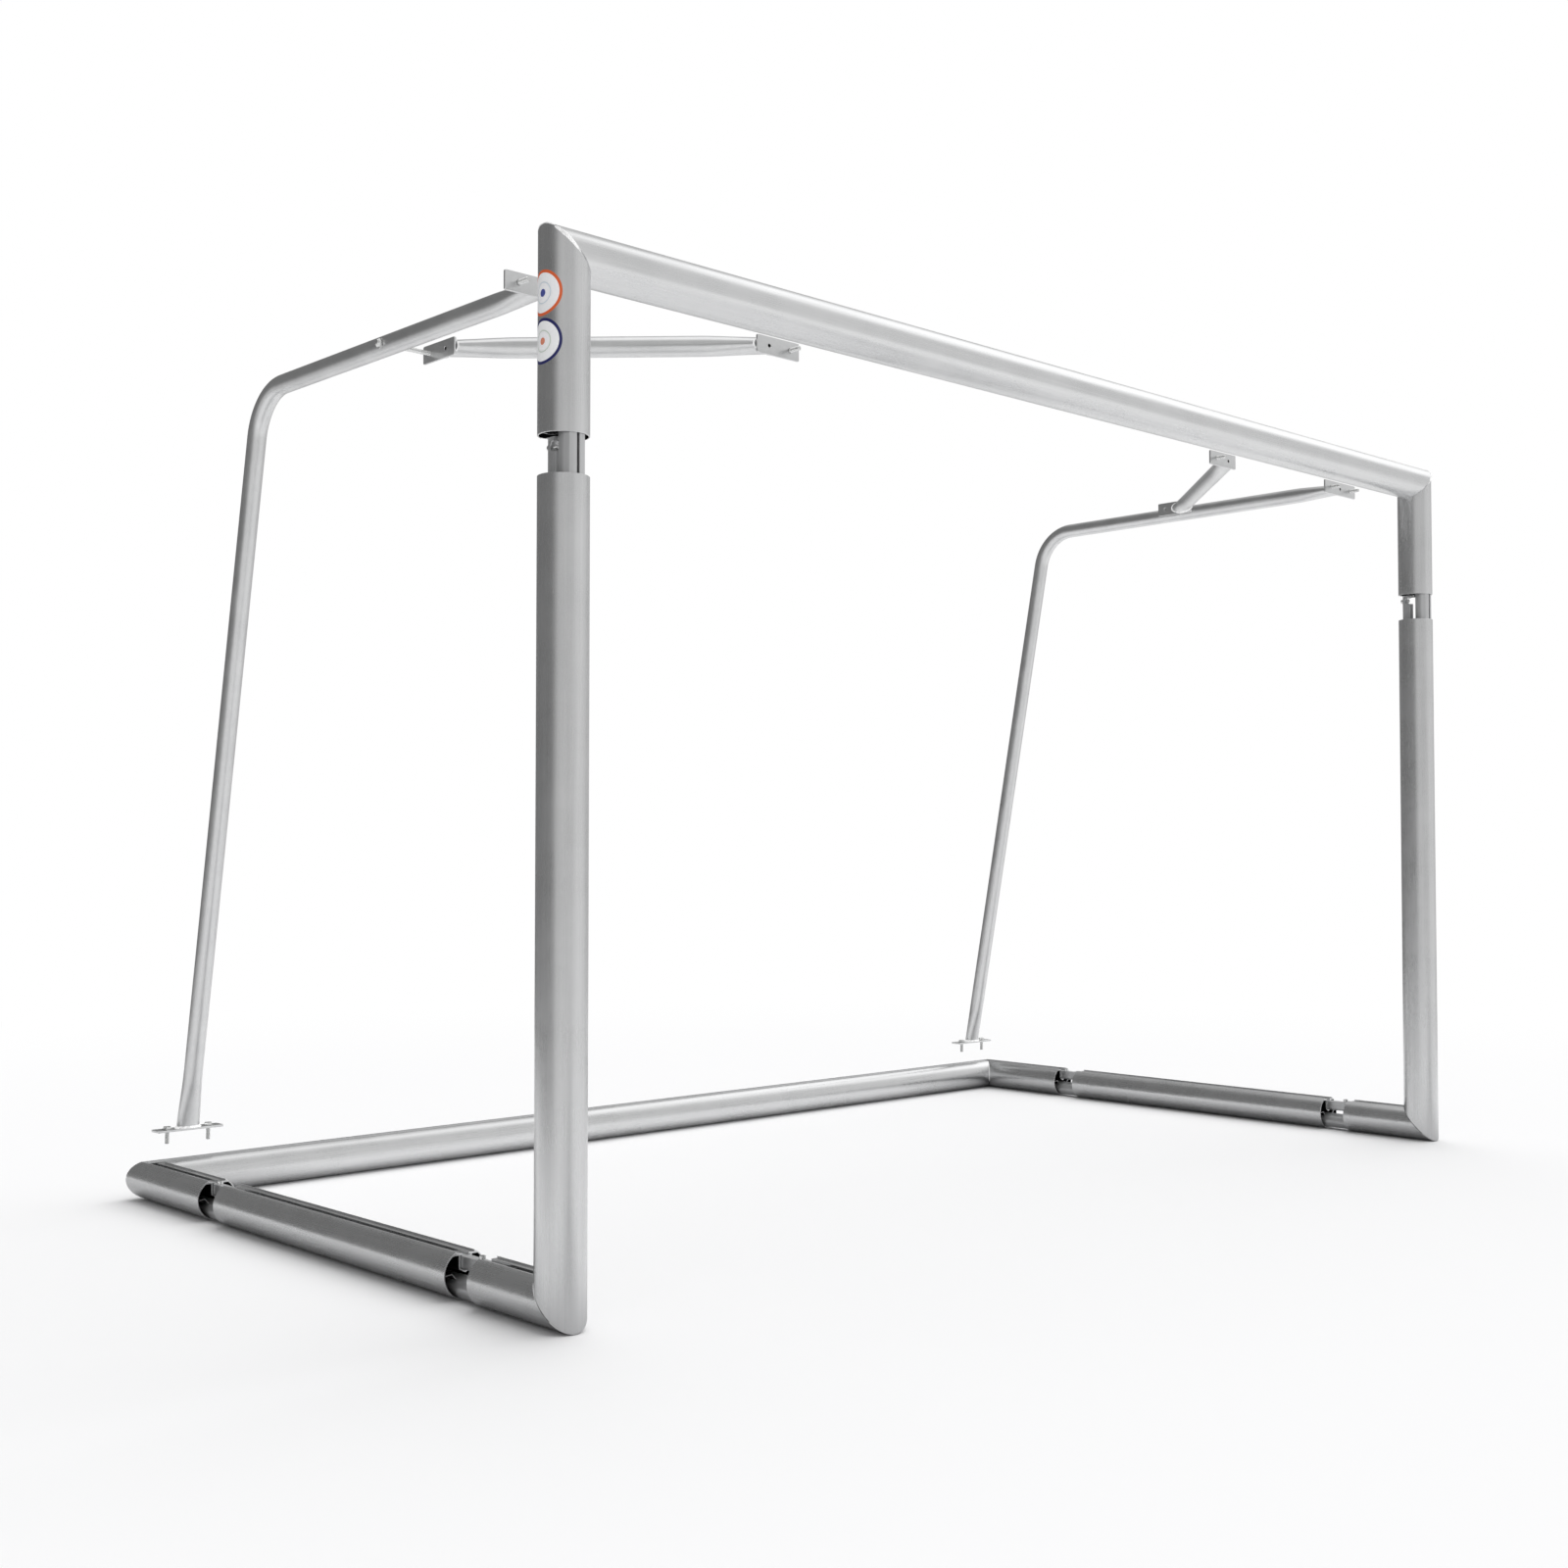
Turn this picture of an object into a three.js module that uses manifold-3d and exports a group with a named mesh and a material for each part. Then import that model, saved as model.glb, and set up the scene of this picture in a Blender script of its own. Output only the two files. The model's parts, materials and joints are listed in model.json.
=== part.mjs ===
// Portable soccer goal frame, 3.0 x 1.8 m, shown partly pulled apart at its six plug-in joints.
// Millimetres. +X runs along the crossbar, +Y to the back of the goal, +Z up.
// The origin is on the ground, midway between the two posts.
import * as THREE from 'three';
import { mergeVertices } from 'three/addons/utils/BufferGeometryUtils.js';
import Module from 'manifold-3d';

const wasm = await Module();
wasm.setup();

// ---- Goal size ----
const POST_X = 1547.5; // post axis from the middle, for a mouth 3000 wide
const ASSEMBLED_CROSSBAR_Z = 1847.5; // crossbar axis of the closed goal, for a mouth 1800 high
const BASE_DEPTH = 1500; // post axis to rear bar axis of the closed goal

// ---- How far each joint stands open ----
const POST_GAP = 73;
const BASE_GAP = 75.5;
const CROSSBAR_Z = ASSEMBLED_CROSSBAR_Z + POST_GAP;
const REAR_Y = BASE_DEPTH + 2 * BASE_GAP;

// ---- Cut lengths, measured from the corner axis of each welded unit ----
const FRONT_STUB = 225;
const REAR_STUB = 336;
const TOP_STUB = 329.5;
const MIDDLE_RAIL_START = FRONT_STUB + BASE_GAP;
const MIDDLE_RAIL_END = REAR_Y - REAR_STUB - BASE_GAP;
const LOWER_POST_TOP = CROSSBAR_Z - TOP_STUB - POST_GAP;
const WELD_GAP = 0.25; // left on each side of a mitre
const FIT_GAP = 0.3; // left between pieces that touch

// ---- Extruded tube section: u is across the tube, w points out of the groove ----
const TUBE_R = 47.5;
const WALL = 3;
const RECESS_HALF = 20;
const LEDGE_W = 39.5;
const LIP_THICKNESS = 4;
const SLOT_HALF = 7;
const CHAMBER_HALF = 11;
const WEB_THICKNESS = 4;
const VALLEY_TOP = 5.6; // chamber floor at the middle of the tube
const VALLEY_SIDE = 11.7; // chamber floor beside the webs
const VALLEY_THICKNESS = 3.4;
const ARC_STEPS = 21;

// ---- Connector set in each joint ----
const CONNECTOR_R = 44;
const CONNECTOR_SLOT_HALF = 2.8;
const CONNECTOR_INSIDE = 80; // length held in its own tube
const CONNECTOR_REACH = 60; // length already in the mating tube
const CLAMP_HALF = 9.7;
const CLAMP_TOP_W = 35.2;
const CLAMP_INSIDE = 50;
const CLAMP_REACH = 45;
const SCREW_R = 4;
const SCREW_HOLE_R = 4.3;
const SCREW_HEAD_R = 6.5;
const SCREW_HEAD_W = 35.5;
const SCREW_HEAD_HEIGHT = 7.8;
const BASE_SCREW_FRONT = 18; // screw axis from the front stub's cut end
const BASE_SCREW_REAR = 15;
const POST_SCREW = 15;

// ---- Stays, braces and their plates ----
const STAY_X = 1460;
const STAY_TUBE_R = 22;
const STAY_WALL = 2.5;
const STAY_BEND_R = 130;
const STAY_LEAN = THREE.MathUtils.degToRad(11.07);
const PLATE_THICKNESS = 5;
const PLATE_HEIGHT = 39;
const STAY_PLATE_LENGTH = 170;
const STAY_BOLT_HALF_PITCH = 53;
const BRACE_PLATE_LENGTH = 122;
const BRACE_VENT_FROM_END = 35;
const BRACE_BOLT_FROM_VENT = 60;
const VENT_R = 4;
const BOLT_R = 5;
const BOLT_HOLE_R = 5.3;
const BOLT_REACH = 30; // bolt shank beyond the plate face
const HEX_R = 9.8;
const HEX_HEIGHT = 6.4;
const FOOT_PLATE_Z = 160;
const BRACKET_Y = 190;
const BRACE_STAY_X = 1358.5; // brace plate face that meets the stay
const BRACE_STAY_VENT_Y = 682;
const BRACE_BAR_VENT_X = 867;
const SLOT_NUT_HALF = 9.7;
const SLOT_NUT_LOW_W = 28;
const SLOT_NUT_TOP_W = 35.2;
const STRIP_LENGTH = 134;
const BRACE_NUT_LENGTH = 30;

// ---- Materials ----
const anodised = new THREE.MeshStandardMaterial({ color: 0xb9bcbd, roughness: 0.42, metalness: 0.85 });
const castAlloy = new THREE.MeshStandardMaterial({ color: 0x9b9ea0, roughness: 0.55, metalness: 0.8 });
const zincSteel = new THREE.MeshStandardMaterial({ color: 0xb4b8b8, roughness: 0.45, metalness: 0.8 });
const boltSteel = new THREE.MeshStandardMaterial({ color: 0xd2d3d2, roughness: 0.3, metalness: 0.9 });

const goal = new THREE.Group();
goal.name = 'soccer_goal_frame';

// A frame with local x across (u), y out of the groove (w) and z along the tube.
function tubeFrame(origin, along, grooveSide) {
  const across = new THREE.Vector3().crossVectors(grooveSide, along);
  return { origin, along, basis: new THREE.Matrix4().makeBasis(across, grooveSide, along) };
}

function addPiece(name, geometry, material, frame, distance = 0) {
  const mesh = new THREE.Mesh(geometry, material);
  mesh.name = name;
  mesh.position.copy(frame.origin).addScaledVector(frame.along, distance);
  mesh.setRotationFromMatrix(frame.basis);
  goal.add(mesh);
  return mesh;
}

function toManifold(geometry) {
  const plain = geometry.clone();
  plain.deleteAttribute('normal');
  plain.deleteAttribute('uv');
  const merged = mergeVertices(plain, 1e-4);
  return new wasm.Manifold(new wasm.Mesh({
    numProp: 3,
    vertProperties: new Float32Array(merged.attributes.position.array),
    triVerts: new Uint32Array(merged.index.array),
  }));
}

function fromManifold(solid) {
  const mesh = solid.getMesh();
  const geometry = new THREE.BufferGeometry();
  geometry.setAttribute('position', new THREE.BufferAttribute(mesh.vertProperties, 3));
  geometry.setIndex(new THREE.BufferAttribute(mesh.triVerts, 1));
  const faceted = geometry.toNonIndexed();
  faceted.computeVertexNormals();
  return faceted;
}

function cut(geometry, ...tools) {
  let solid = toManifold(geometry);
  for (const tool of tools) {
    solid = solid.subtract(toManifold(tool));
  }
  return fromManifold(solid);
}

// ---- Tube section ----

function arcPoints(radius, fromAngle, toAngle, steps) {
  const points = [];
  for (let i = 0; i <= steps; i += 1) {
    const angle = fromAngle + ((toAngle - fromAngle) * i) / steps;
    points.push(new THREE.Vector2(radius * Math.cos(angle), radius * Math.sin(angle)));
  }
  return points;
}

// Adds the mirror image of a half outline that starts and ends on the middle line.
function closeByMirror(half) {
  const other = half.slice(1, -1).reverse().map((point) => new THREE.Vector2(-point.x, point.y));
  return half.concat(other);
}

// Outside of the tube with the recess, the slot and the chamber under it.
function tubeOutline() {
  const recessEdge = Math.sqrt(TUBE_R ** 2 - RECESS_HALF ** 2);
  const half = [
    new THREE.Vector2(0, VALLEY_TOP),
    new THREE.Vector2(CHAMBER_HALF, VALLEY_SIDE),
    new THREE.Vector2(CHAMBER_HALF, LEDGE_W - LIP_THICKNESS),
    new THREE.Vector2(SLOT_HALF, LEDGE_W - LIP_THICKNESS),
    new THREE.Vector2(SLOT_HALF, LEDGE_W),
    new THREE.Vector2(RECESS_HALF, LEDGE_W),
    ...arcPoints(TUBE_R, Math.atan2(recessEdge, RECESS_HALF), -Math.PI / 2, ARC_STEPS),
  ];
  return closeByMirror(half);
}

// Inside of the tube: one cavity with a kinked rib on each wall.
function tubeCavity() {
  const innerR = TUBE_R - WALL;
  const ledgeUnder = LEDGE_W - LIP_THICKNESS;
  const ledgeOut = Math.sqrt(innerR ** 2 - ledgeUnder ** 2);
  const webOut = CHAMBER_HALF + WEB_THICKNESS;
  const ribLowAngle = Math.asin(0.3 / innerR);
  const ribHighAngle = Math.asin(2.9 / innerR);
  const half = [
    new THREE.Vector2(0, VALLEY_TOP - VALLEY_THICKNESS),
    new THREE.Vector2(webOut, VALLEY_SIDE - VALLEY_THICKNESS + 2.2),
    new THREE.Vector2(webOut, ledgeUnder),
    ...arcPoints(innerR, Math.atan2(ledgeUnder, ledgeOut), ribHighAngle, 6),
    new THREE.Vector2(29, 4.4),
    new THREE.Vector2(19.2, -6.6),
    new THREE.Vector2(21.1, -8.3),
    new THREE.Vector2(30, 1.8),
    ...arcPoints(innerR, ribLowAngle, -Math.PI / 2, 12),
  ];
  return closeByMirror(half);
}

// startCut and endCut are the mitre slopes [per u, per w]; zero slopes leave a square end.
function tubeGeometry(length, startCut, endCut) {
  const shape = new THREE.Shape(tubeOutline().reverse());
  shape.holes.push(new THREE.Path(tubeCavity()));
  const geometry = new THREE.ExtrudeGeometry(shape, { depth: length, bevelEnabled: false });
  const position = geometry.attributes.position;
  for (let i = 0; i < position.count; i += 1) {
    const atEnd = position.getZ(i) > length / 2;
    const slope = atEnd ? endCut : startCut;
    const mitred = slope[0] !== 0 || slope[1] !== 0;
    const back = mitred ? (atEnd ? -WELD_GAP : WELD_GAP) : 0;
    const shift = slope[0] * position.getX(i) + slope[1] * position.getY(i) + back;
    position.setZ(i, position.getZ(i) + shift);
  }
  geometry.computeVertexNormals();
  return geometry;
}

const SQUARE = [0, 0];

// ---- Connector, clamp and screw of one joint ----

// A slotted block that fills the lower cavity between the ribs.
function connectorGeometry(length) {
  const slotEdge = -Math.sqrt(CONNECTOR_R ** 2 - CONNECTOR_SLOT_HALF ** 2);
  const slotAngle = Math.atan2(slotEdge, CONNECTOR_SLOT_HALF);
  const flankAngle = Math.atan2(-40.6, 17);
  const half = [
    new THREE.Vector2(0, -8),
    new THREE.Vector2(CONNECTOR_SLOT_HALF, -8),
    ...arcPoints(CONNECTOR_R, slotAngle, flankAngle, 4),
    new THREE.Vector2(25, -29),
    new THREE.Vector2(26, -21),
    new THREE.Vector2(19.5, -10),
    new THREE.Vector2(0, -1.2),
  ];
  const shape = new THREE.Shape(closeByMirror(half));
  return new THREE.ExtrudeGeometry(shape, { depth: length, bevelEnabled: false });
}

function boxBetween(low, high) {
  const size = high.clone().sub(low);
  const geometry = new THREE.BoxGeometry(size.x, size.y, size.z);
  const middle = low.clone().add(high).multiplyScalar(0.5);
  return geometry.translate(middle.x, middle.y, middle.z);
}

// A cylinder along the local w direction, used as a drill.
function drillAlongW(radius, lowW, highW, distance) {
  const geometry = new THREE.CylinderGeometry(radius, radius, highW - lowW, 24);
  return geometry.translate(0, (lowW + highW) / 2, distance);
}

// The base clamps are forks with a window; the post clamps are solid blocks with a round relief.
function clampGeometry(length, screwAt, isFork) {
  const lowW = isFork ? 12 : 17;
  const body = boxBetween(
    new THREE.Vector3(-CLAMP_HALF, lowW, 0),
    new THREE.Vector3(CLAMP_HALF, CLAMP_TOP_W, length),
  );
  const hole = drillAlongW(SCREW_HOLE_R, lowW - 2, CLAMP_TOP_W + 2, screwAt);
  if (isFork) {
    const window = boxBetween(
      new THREE.Vector3(-CLAMP_HALF - 2, 17.5, 20),
      new THREE.Vector3(CLAMP_HALF + 2, 31.5, length - 20),
    );
    return cut(body, window, hole);
  }
  const relief = new THREE.CylinderGeometry(11, 11, 2 * CLAMP_HALF + 4, 32);
  relief.rotateZ(Math.PI / 2);
  relief.translate(0, lowW - 1.5, screwAt);
  return cut(body, relief, hole);
}

// Socket-head clamp screw, its axis along local w.
function screwGeometry(tipW) {
  const headTop = SCREW_HEAD_W + SCREW_HEAD_HEIGHT;
  const socketR = 3.3;
  const socketDepth = 4;
  const profile = [
    new THREE.Vector2(0, tipW),
    new THREE.Vector2(SCREW_R, tipW),
    new THREE.Vector2(SCREW_R, SCREW_HEAD_W),
    new THREE.Vector2(SCREW_HEAD_R, SCREW_HEAD_W),
    new THREE.Vector2(SCREW_HEAD_R, headTop - 0.8),
    new THREE.Vector2(SCREW_HEAD_R - 0.8, headTop),
    new THREE.Vector2(socketR, headTop),
    new THREE.Vector2(socketR, headTop - socketDepth),
    new THREE.Vector2(0, headTop - socketDepth),
  ];
  return new THREE.LatheGeometry(profile, 24);
}

// frame.origin lies on the tube axis at the cut end of the tube that holds the connector,
// and frame.along points out of that tube into the gap.
function addJoint(name, frame, gap, screwAt, isFork) {
  const connectorLength = CONNECTOR_INSIDE + gap + CONNECTOR_REACH;
  addPiece(`${name}_connector`, connectorGeometry(connectorLength), castAlloy, frame, -CONNECTOR_INSIDE);
  const clampLength = CLAMP_INSIDE + gap + CLAMP_REACH;
  const clamp = clampGeometry(clampLength, CLAMP_INSIDE + screwAt, isFork);
  addPiece(`${name}_clamp`, clamp, castAlloy, frame, -CLAMP_INSIDE);
  addPiece(`${name}_clamp_screw`, screwGeometry(isFork ? 13 : 18), boltSteel, frame, screwAt);
}

// ---- Plates, bolts and slot nuts ----

// A flat bar in local x and y, thickness along z from 0, with round holes [x, radius].
function plateGeometry(lowX, highX, holes) {
  const corner = 3;
  const half = PLATE_HEIGHT / 2;
  const shape = new THREE.Shape();
  shape.moveTo(lowX + corner, -half);
  shape.lineTo(highX - corner, -half);
  shape.lineTo(highX, -half + corner);
  shape.lineTo(highX, half - corner);
  shape.lineTo(highX - corner, half);
  shape.lineTo(lowX + corner, half);
  shape.lineTo(lowX, half - corner);
  shape.lineTo(lowX, -half + corner);
  shape.closePath();
  for (const [x, radius] of holes) {
    const hole = new THREE.Path();
    hole.absarc(x, 0, radius, 0, 2 * Math.PI, true);
    shape.holes.push(hole);
  }
  const options = { depth: PLATE_THICKNESS, bevelEnabled: false, curveSegments: 10 };
  return new THREE.ExtrudeGeometry(shape, options);
}

// Hexagon bolt with its shank along -z and the underside of its head at z = 0.
function hexBoltGeometry(shankLength, headHeight) {
  const head = new THREE.CylinderGeometry(HEX_R, HEX_R, headHeight, 6);
  head.rotateX(Math.PI / 2).translate(0, 0, headHeight / 2);
  const shank = new THREE.CylinderGeometry(BOLT_R, BOLT_R, shankLength + 1, 24);
  shank.rotateX(Math.PI / 2).translate(0, 0, (1 - shankLength) / 2);
  return fromManifold(toManifold(head).add(toManifold(shank)));
}

// Slot nut bar in a tube frame, tapped at the given distances along its length.
function slotNutGeometry(length, tappedAt) {
  const bar = boxBetween(
    new THREE.Vector3(-SLOT_NUT_HALF, SLOT_NUT_LOW_W, -length / 2),
    new THREE.Vector3(SLOT_NUT_HALF, SLOT_NUT_TOP_W, length / 2),
  );
  const drills = tappedAt.map(
    (distance) => drillAlongW(BOLT_HOLE_R, SLOT_NUT_LOW_W - 2, SLOT_NUT_TOP_W + 2, distance),
  );
  return cut(bar, ...drills);
}

// ---- Round steel tubes ----

// Bends a straight hollow tube along stations, each {point, side, normal, wide, flat, shear}.
function roundTubeGeometry(stations) {
  const shape = new THREE.Shape();
  shape.absarc(0, 0, STAY_TUBE_R, 0, 2 * Math.PI, false);
  const bore = new THREE.Path();
  bore.absarc(0, 0, STAY_TUBE_R - STAY_WALL, 0, 2 * Math.PI, true);
  shape.holes.push(bore);
  const steps = stations.length - 1;
  const options = { depth: steps, steps, bevelEnabled: false, curveSegments: 12 };
  const geometry = new THREE.ExtrudeGeometry(shape, options);
  const position = geometry.attributes.position;
  const moved = new THREE.Vector3();
  for (let i = 0; i < position.count; i += 1) {
    const station = stations[Math.round(position.getZ(i))];
    const side = position.getX(i) * station.wide;
    const out = position.getY(i) * station.flat;
    const along = new THREE.Vector3().crossVectors(station.side, station.normal);
    moved.copy(station.point).addScaledVector(station.side, side);
    moved.addScaledVector(station.normal, out).addScaledVector(along, station.shear * out);
    moved.addScaledVector(along, station.sideShear * side);
    position.setXYZ(i, moved.x, moved.y, moved.z);
  }
  geometry.computeVertexNormals();
  return geometry;
}

const SQUASH_LENGTH = 150;

// Share of full squash at a distance from a tube end, easing to zero at SQUASH_LENGTH.
function squashAt(distance) {
  const t = Math.min(Math.max(1 - distance / SQUASH_LENGTH, 0), 1);
  return t * t * (3 - 2 * t);
}

// Leaning leg, bend and level arm in the plane x = 0, from the foot plate to the bracket.
function stayStations() {
  const footZ = FOOT_PLATE_Z + PLATE_THICKNESS + FIT_GAP;
  const armEndY = BRACKET_Y + PLATE_THICKNESS + FIT_GAP;
  const turn = Math.PI / 2 - STAY_LEAN;
  const tangent = STAY_BEND_R * Math.tan(turn / 2);
  const legRun = (CROSSBAR_Z - footZ) / Math.cos(STAY_LEAN);
  const legLength = legRun - tangent;
  const up = new THREE.Vector3(0, -Math.sin(STAY_LEAN), Math.cos(STAY_LEAN));
  const foot = new THREE.Vector3(0, REAR_Y, footZ);
  const bendStart = foot.clone().addScaledVector(up, legLength);
  const armStartY = foot.y + legRun * up.y - tangent;
  const armLength = armStartY - armEndY;
  const stations = [];
  const side = new THREE.Vector3(1, 0, 0);
  const addStation = (point, angle, squash, shear) => {
    const direction = new THREE.Vector3(0, -Math.sin(angle), Math.cos(angle));
    const normal = new THREE.Vector3().crossVectors(direction, side);
    stations.push({
      point, side, normal, wide: 1 + 0.3 * squash, flat: 1 - 0.3 * squash, shear, sideShear: 0,
    });
  };
  for (const distance of [0, 30, 60, 90, 120, 150, legLength / 2, legLength]) {
    const shear = distance === 0 ? -Math.tan(STAY_LEAN) : 0;
    addStation(foot.clone().addScaledVector(up, distance), STAY_LEAN, squashAt(distance), shear);
  }
  const bendSteps = 10;
  const outward = new THREE.Vector3(0, -Math.cos(STAY_LEAN), -Math.sin(STAY_LEAN));
  const centre = bendStart.clone().addScaledVector(outward, STAY_BEND_R);
  for (let i = 1; i <= bendSteps; i += 1) {
    const angle = STAY_LEAN + (turn * i) / bendSteps;
    const point = new THREE.Vector3(0, Math.cos(angle), Math.sin(angle));
    addStation(point.multiplyScalar(STAY_BEND_R).add(centre), angle, 0, 0);
  }
  for (const distance of [armLength / 2, 150, 120, 90, 60, 30, 0]) {
    addStation(new THREE.Vector3(0, armEndY + distance, CROSSBAR_Z), Math.PI / 2, squashAt(distance), 0);
  }
  return stations;
}

// Level tube at 45 degrees in plan, from the stay plate at the origin to the crossbar plate.
// startSlant is the slope of its first end cut; the far end slants the other way.
function braceStations(length, startSlant) {
  const direction = new THREE.Vector3(1, -1, 0).normalize();
  const normal = new THREE.Vector3(0, 0, 1);
  const side = new THREE.Vector3().crossVectors(normal, direction);
  const distances = [0, 30, 60, 90, 120, 150, length / 2];
  const all = distances.concat(distances.slice(0, -1).reverse().map((distance) => length - distance));
  return all.map((distance) => {
    const squash = squashAt(Math.min(distance, length - distance));
    let sideShear = 0;
    if (distance === 0) sideShear = startSlant;
    if (distance === length) sideShear = -startSlant;
    return {
      point: direction.clone().multiplyScalar(distance),
      side,
      normal,
      wide: 1 + 0.03 * squash,
      flat: 1 - 0.3 * squash,
      shear: 0,
      sideShear,
    };
  });
}

// ---- Welded units and rails ----

const X = new THREE.Vector3(1, 0, 0);
const Y = new THREE.Vector3(0, 1, 0);
const Z = new THREE.Vector3(0, 0, 1);
const BACK = Y.clone().negate();
const DOWN = Z.clone().negate();

function at(x, y, z) {
  return new THREE.Vector3(x, y, z);
}

for (const [side, sign] of [['left', -1], ['right', 1]]) {
  const x = sign * POST_X;

  const post = tubeFrame(at(x, 0, TUBE_R), Z, Y);
  const postLength = LOWER_POST_TOP - TUBE_R;
  addPiece(`${side}_lower_post`, tubeGeometry(postLength, [0, 1], SQUARE), anodised, post);

  const topStub = tubeFrame(at(x, 0, CROSSBAR_Z - TOP_STUB), Z, Y);
  addPiece(`${side}_top_stub`, tubeGeometry(TOP_STUB, SQUARE, [sign, 0]), anodised, topStub);

  const frontStub = tubeFrame(at(x, 0, TUBE_R), Y, Z);
  addPiece(`${side}_front_stub`, tubeGeometry(FRONT_STUB, [0, 1], SQUARE), anodised, frontStub);

  const rail = tubeFrame(at(x, MIDDLE_RAIL_START, TUBE_R), Y, Z);
  const railLength = MIDDLE_RAIL_END - MIDDLE_RAIL_START;
  addPiece(`${side}_base_rail`, tubeGeometry(railLength, SQUARE, SQUARE), anodised, rail);

  const rearStub = tubeFrame(at(x, REAR_Y - REAR_STUB, TUBE_R), Y, Z);
  addPiece(`${side}_rear_stub`, tubeGeometry(REAR_STUB, SQUARE, [-sign, 0]), anodised, rearStub);

  const postJoint = tubeFrame(at(x, 0, CROSSBAR_Z - TOP_STUB), DOWN, Y);
  addJoint(`${side}_post`, postJoint, POST_GAP, POST_SCREW, false);

  const frontJoint = tubeFrame(at(x, FRONT_STUB, TUBE_R), Y, Z);
  addJoint(`${side}_front`, frontJoint, BASE_GAP, BASE_SCREW_FRONT, true);

  const rearJoint = tubeFrame(at(x, REAR_Y - REAR_STUB, TUBE_R), BACK, Z);
  addJoint(`${side}_rear`, rearJoint, BASE_GAP, BASE_SCREW_REAR, true);
}

const barLength = 2 * POST_X;
const crossbar = tubeFrame(at(-POST_X, 0, CROSSBAR_Z), X, Y);
addPiece('crossbar', tubeGeometry(barLength, [1, 0], [-1, 0]), anodised, crossbar);
const rearBar = tubeFrame(at(-POST_X, REAR_Y, TUBE_R), X, Z);
addPiece('rear_bar', tubeGeometry(barLength, [-1, 0], [1, 0]), anodised, rearBar);

// ---- Stays, braces, plates and bolts on each side ----

const stayStationList = stayStations();
const braceTubeStart = BRACE_STAY_X - PLATE_THICKNESS - FIT_GAP;
const braceTubeEndY = BRACKET_Y + PLATE_THICKNESS + FIT_GAP;
const braceAxisOffset = PLATE_THICKNESS / 2 + FIT_GAP;
const braceTubeStartY = BRACE_STAY_VENT_Y - braceAxisOffset;
const braceLength = (braceTubeStartY - braceTubeEndY) * Math.SQRT2;
const braceBoltY = BRACE_STAY_VENT_Y + BRACE_BOLT_FROM_VENT;
const braceBoltX = BRACE_BAR_VENT_X - BRACE_BOLT_FROM_VENT;
const vent = [0, VENT_R];

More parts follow.
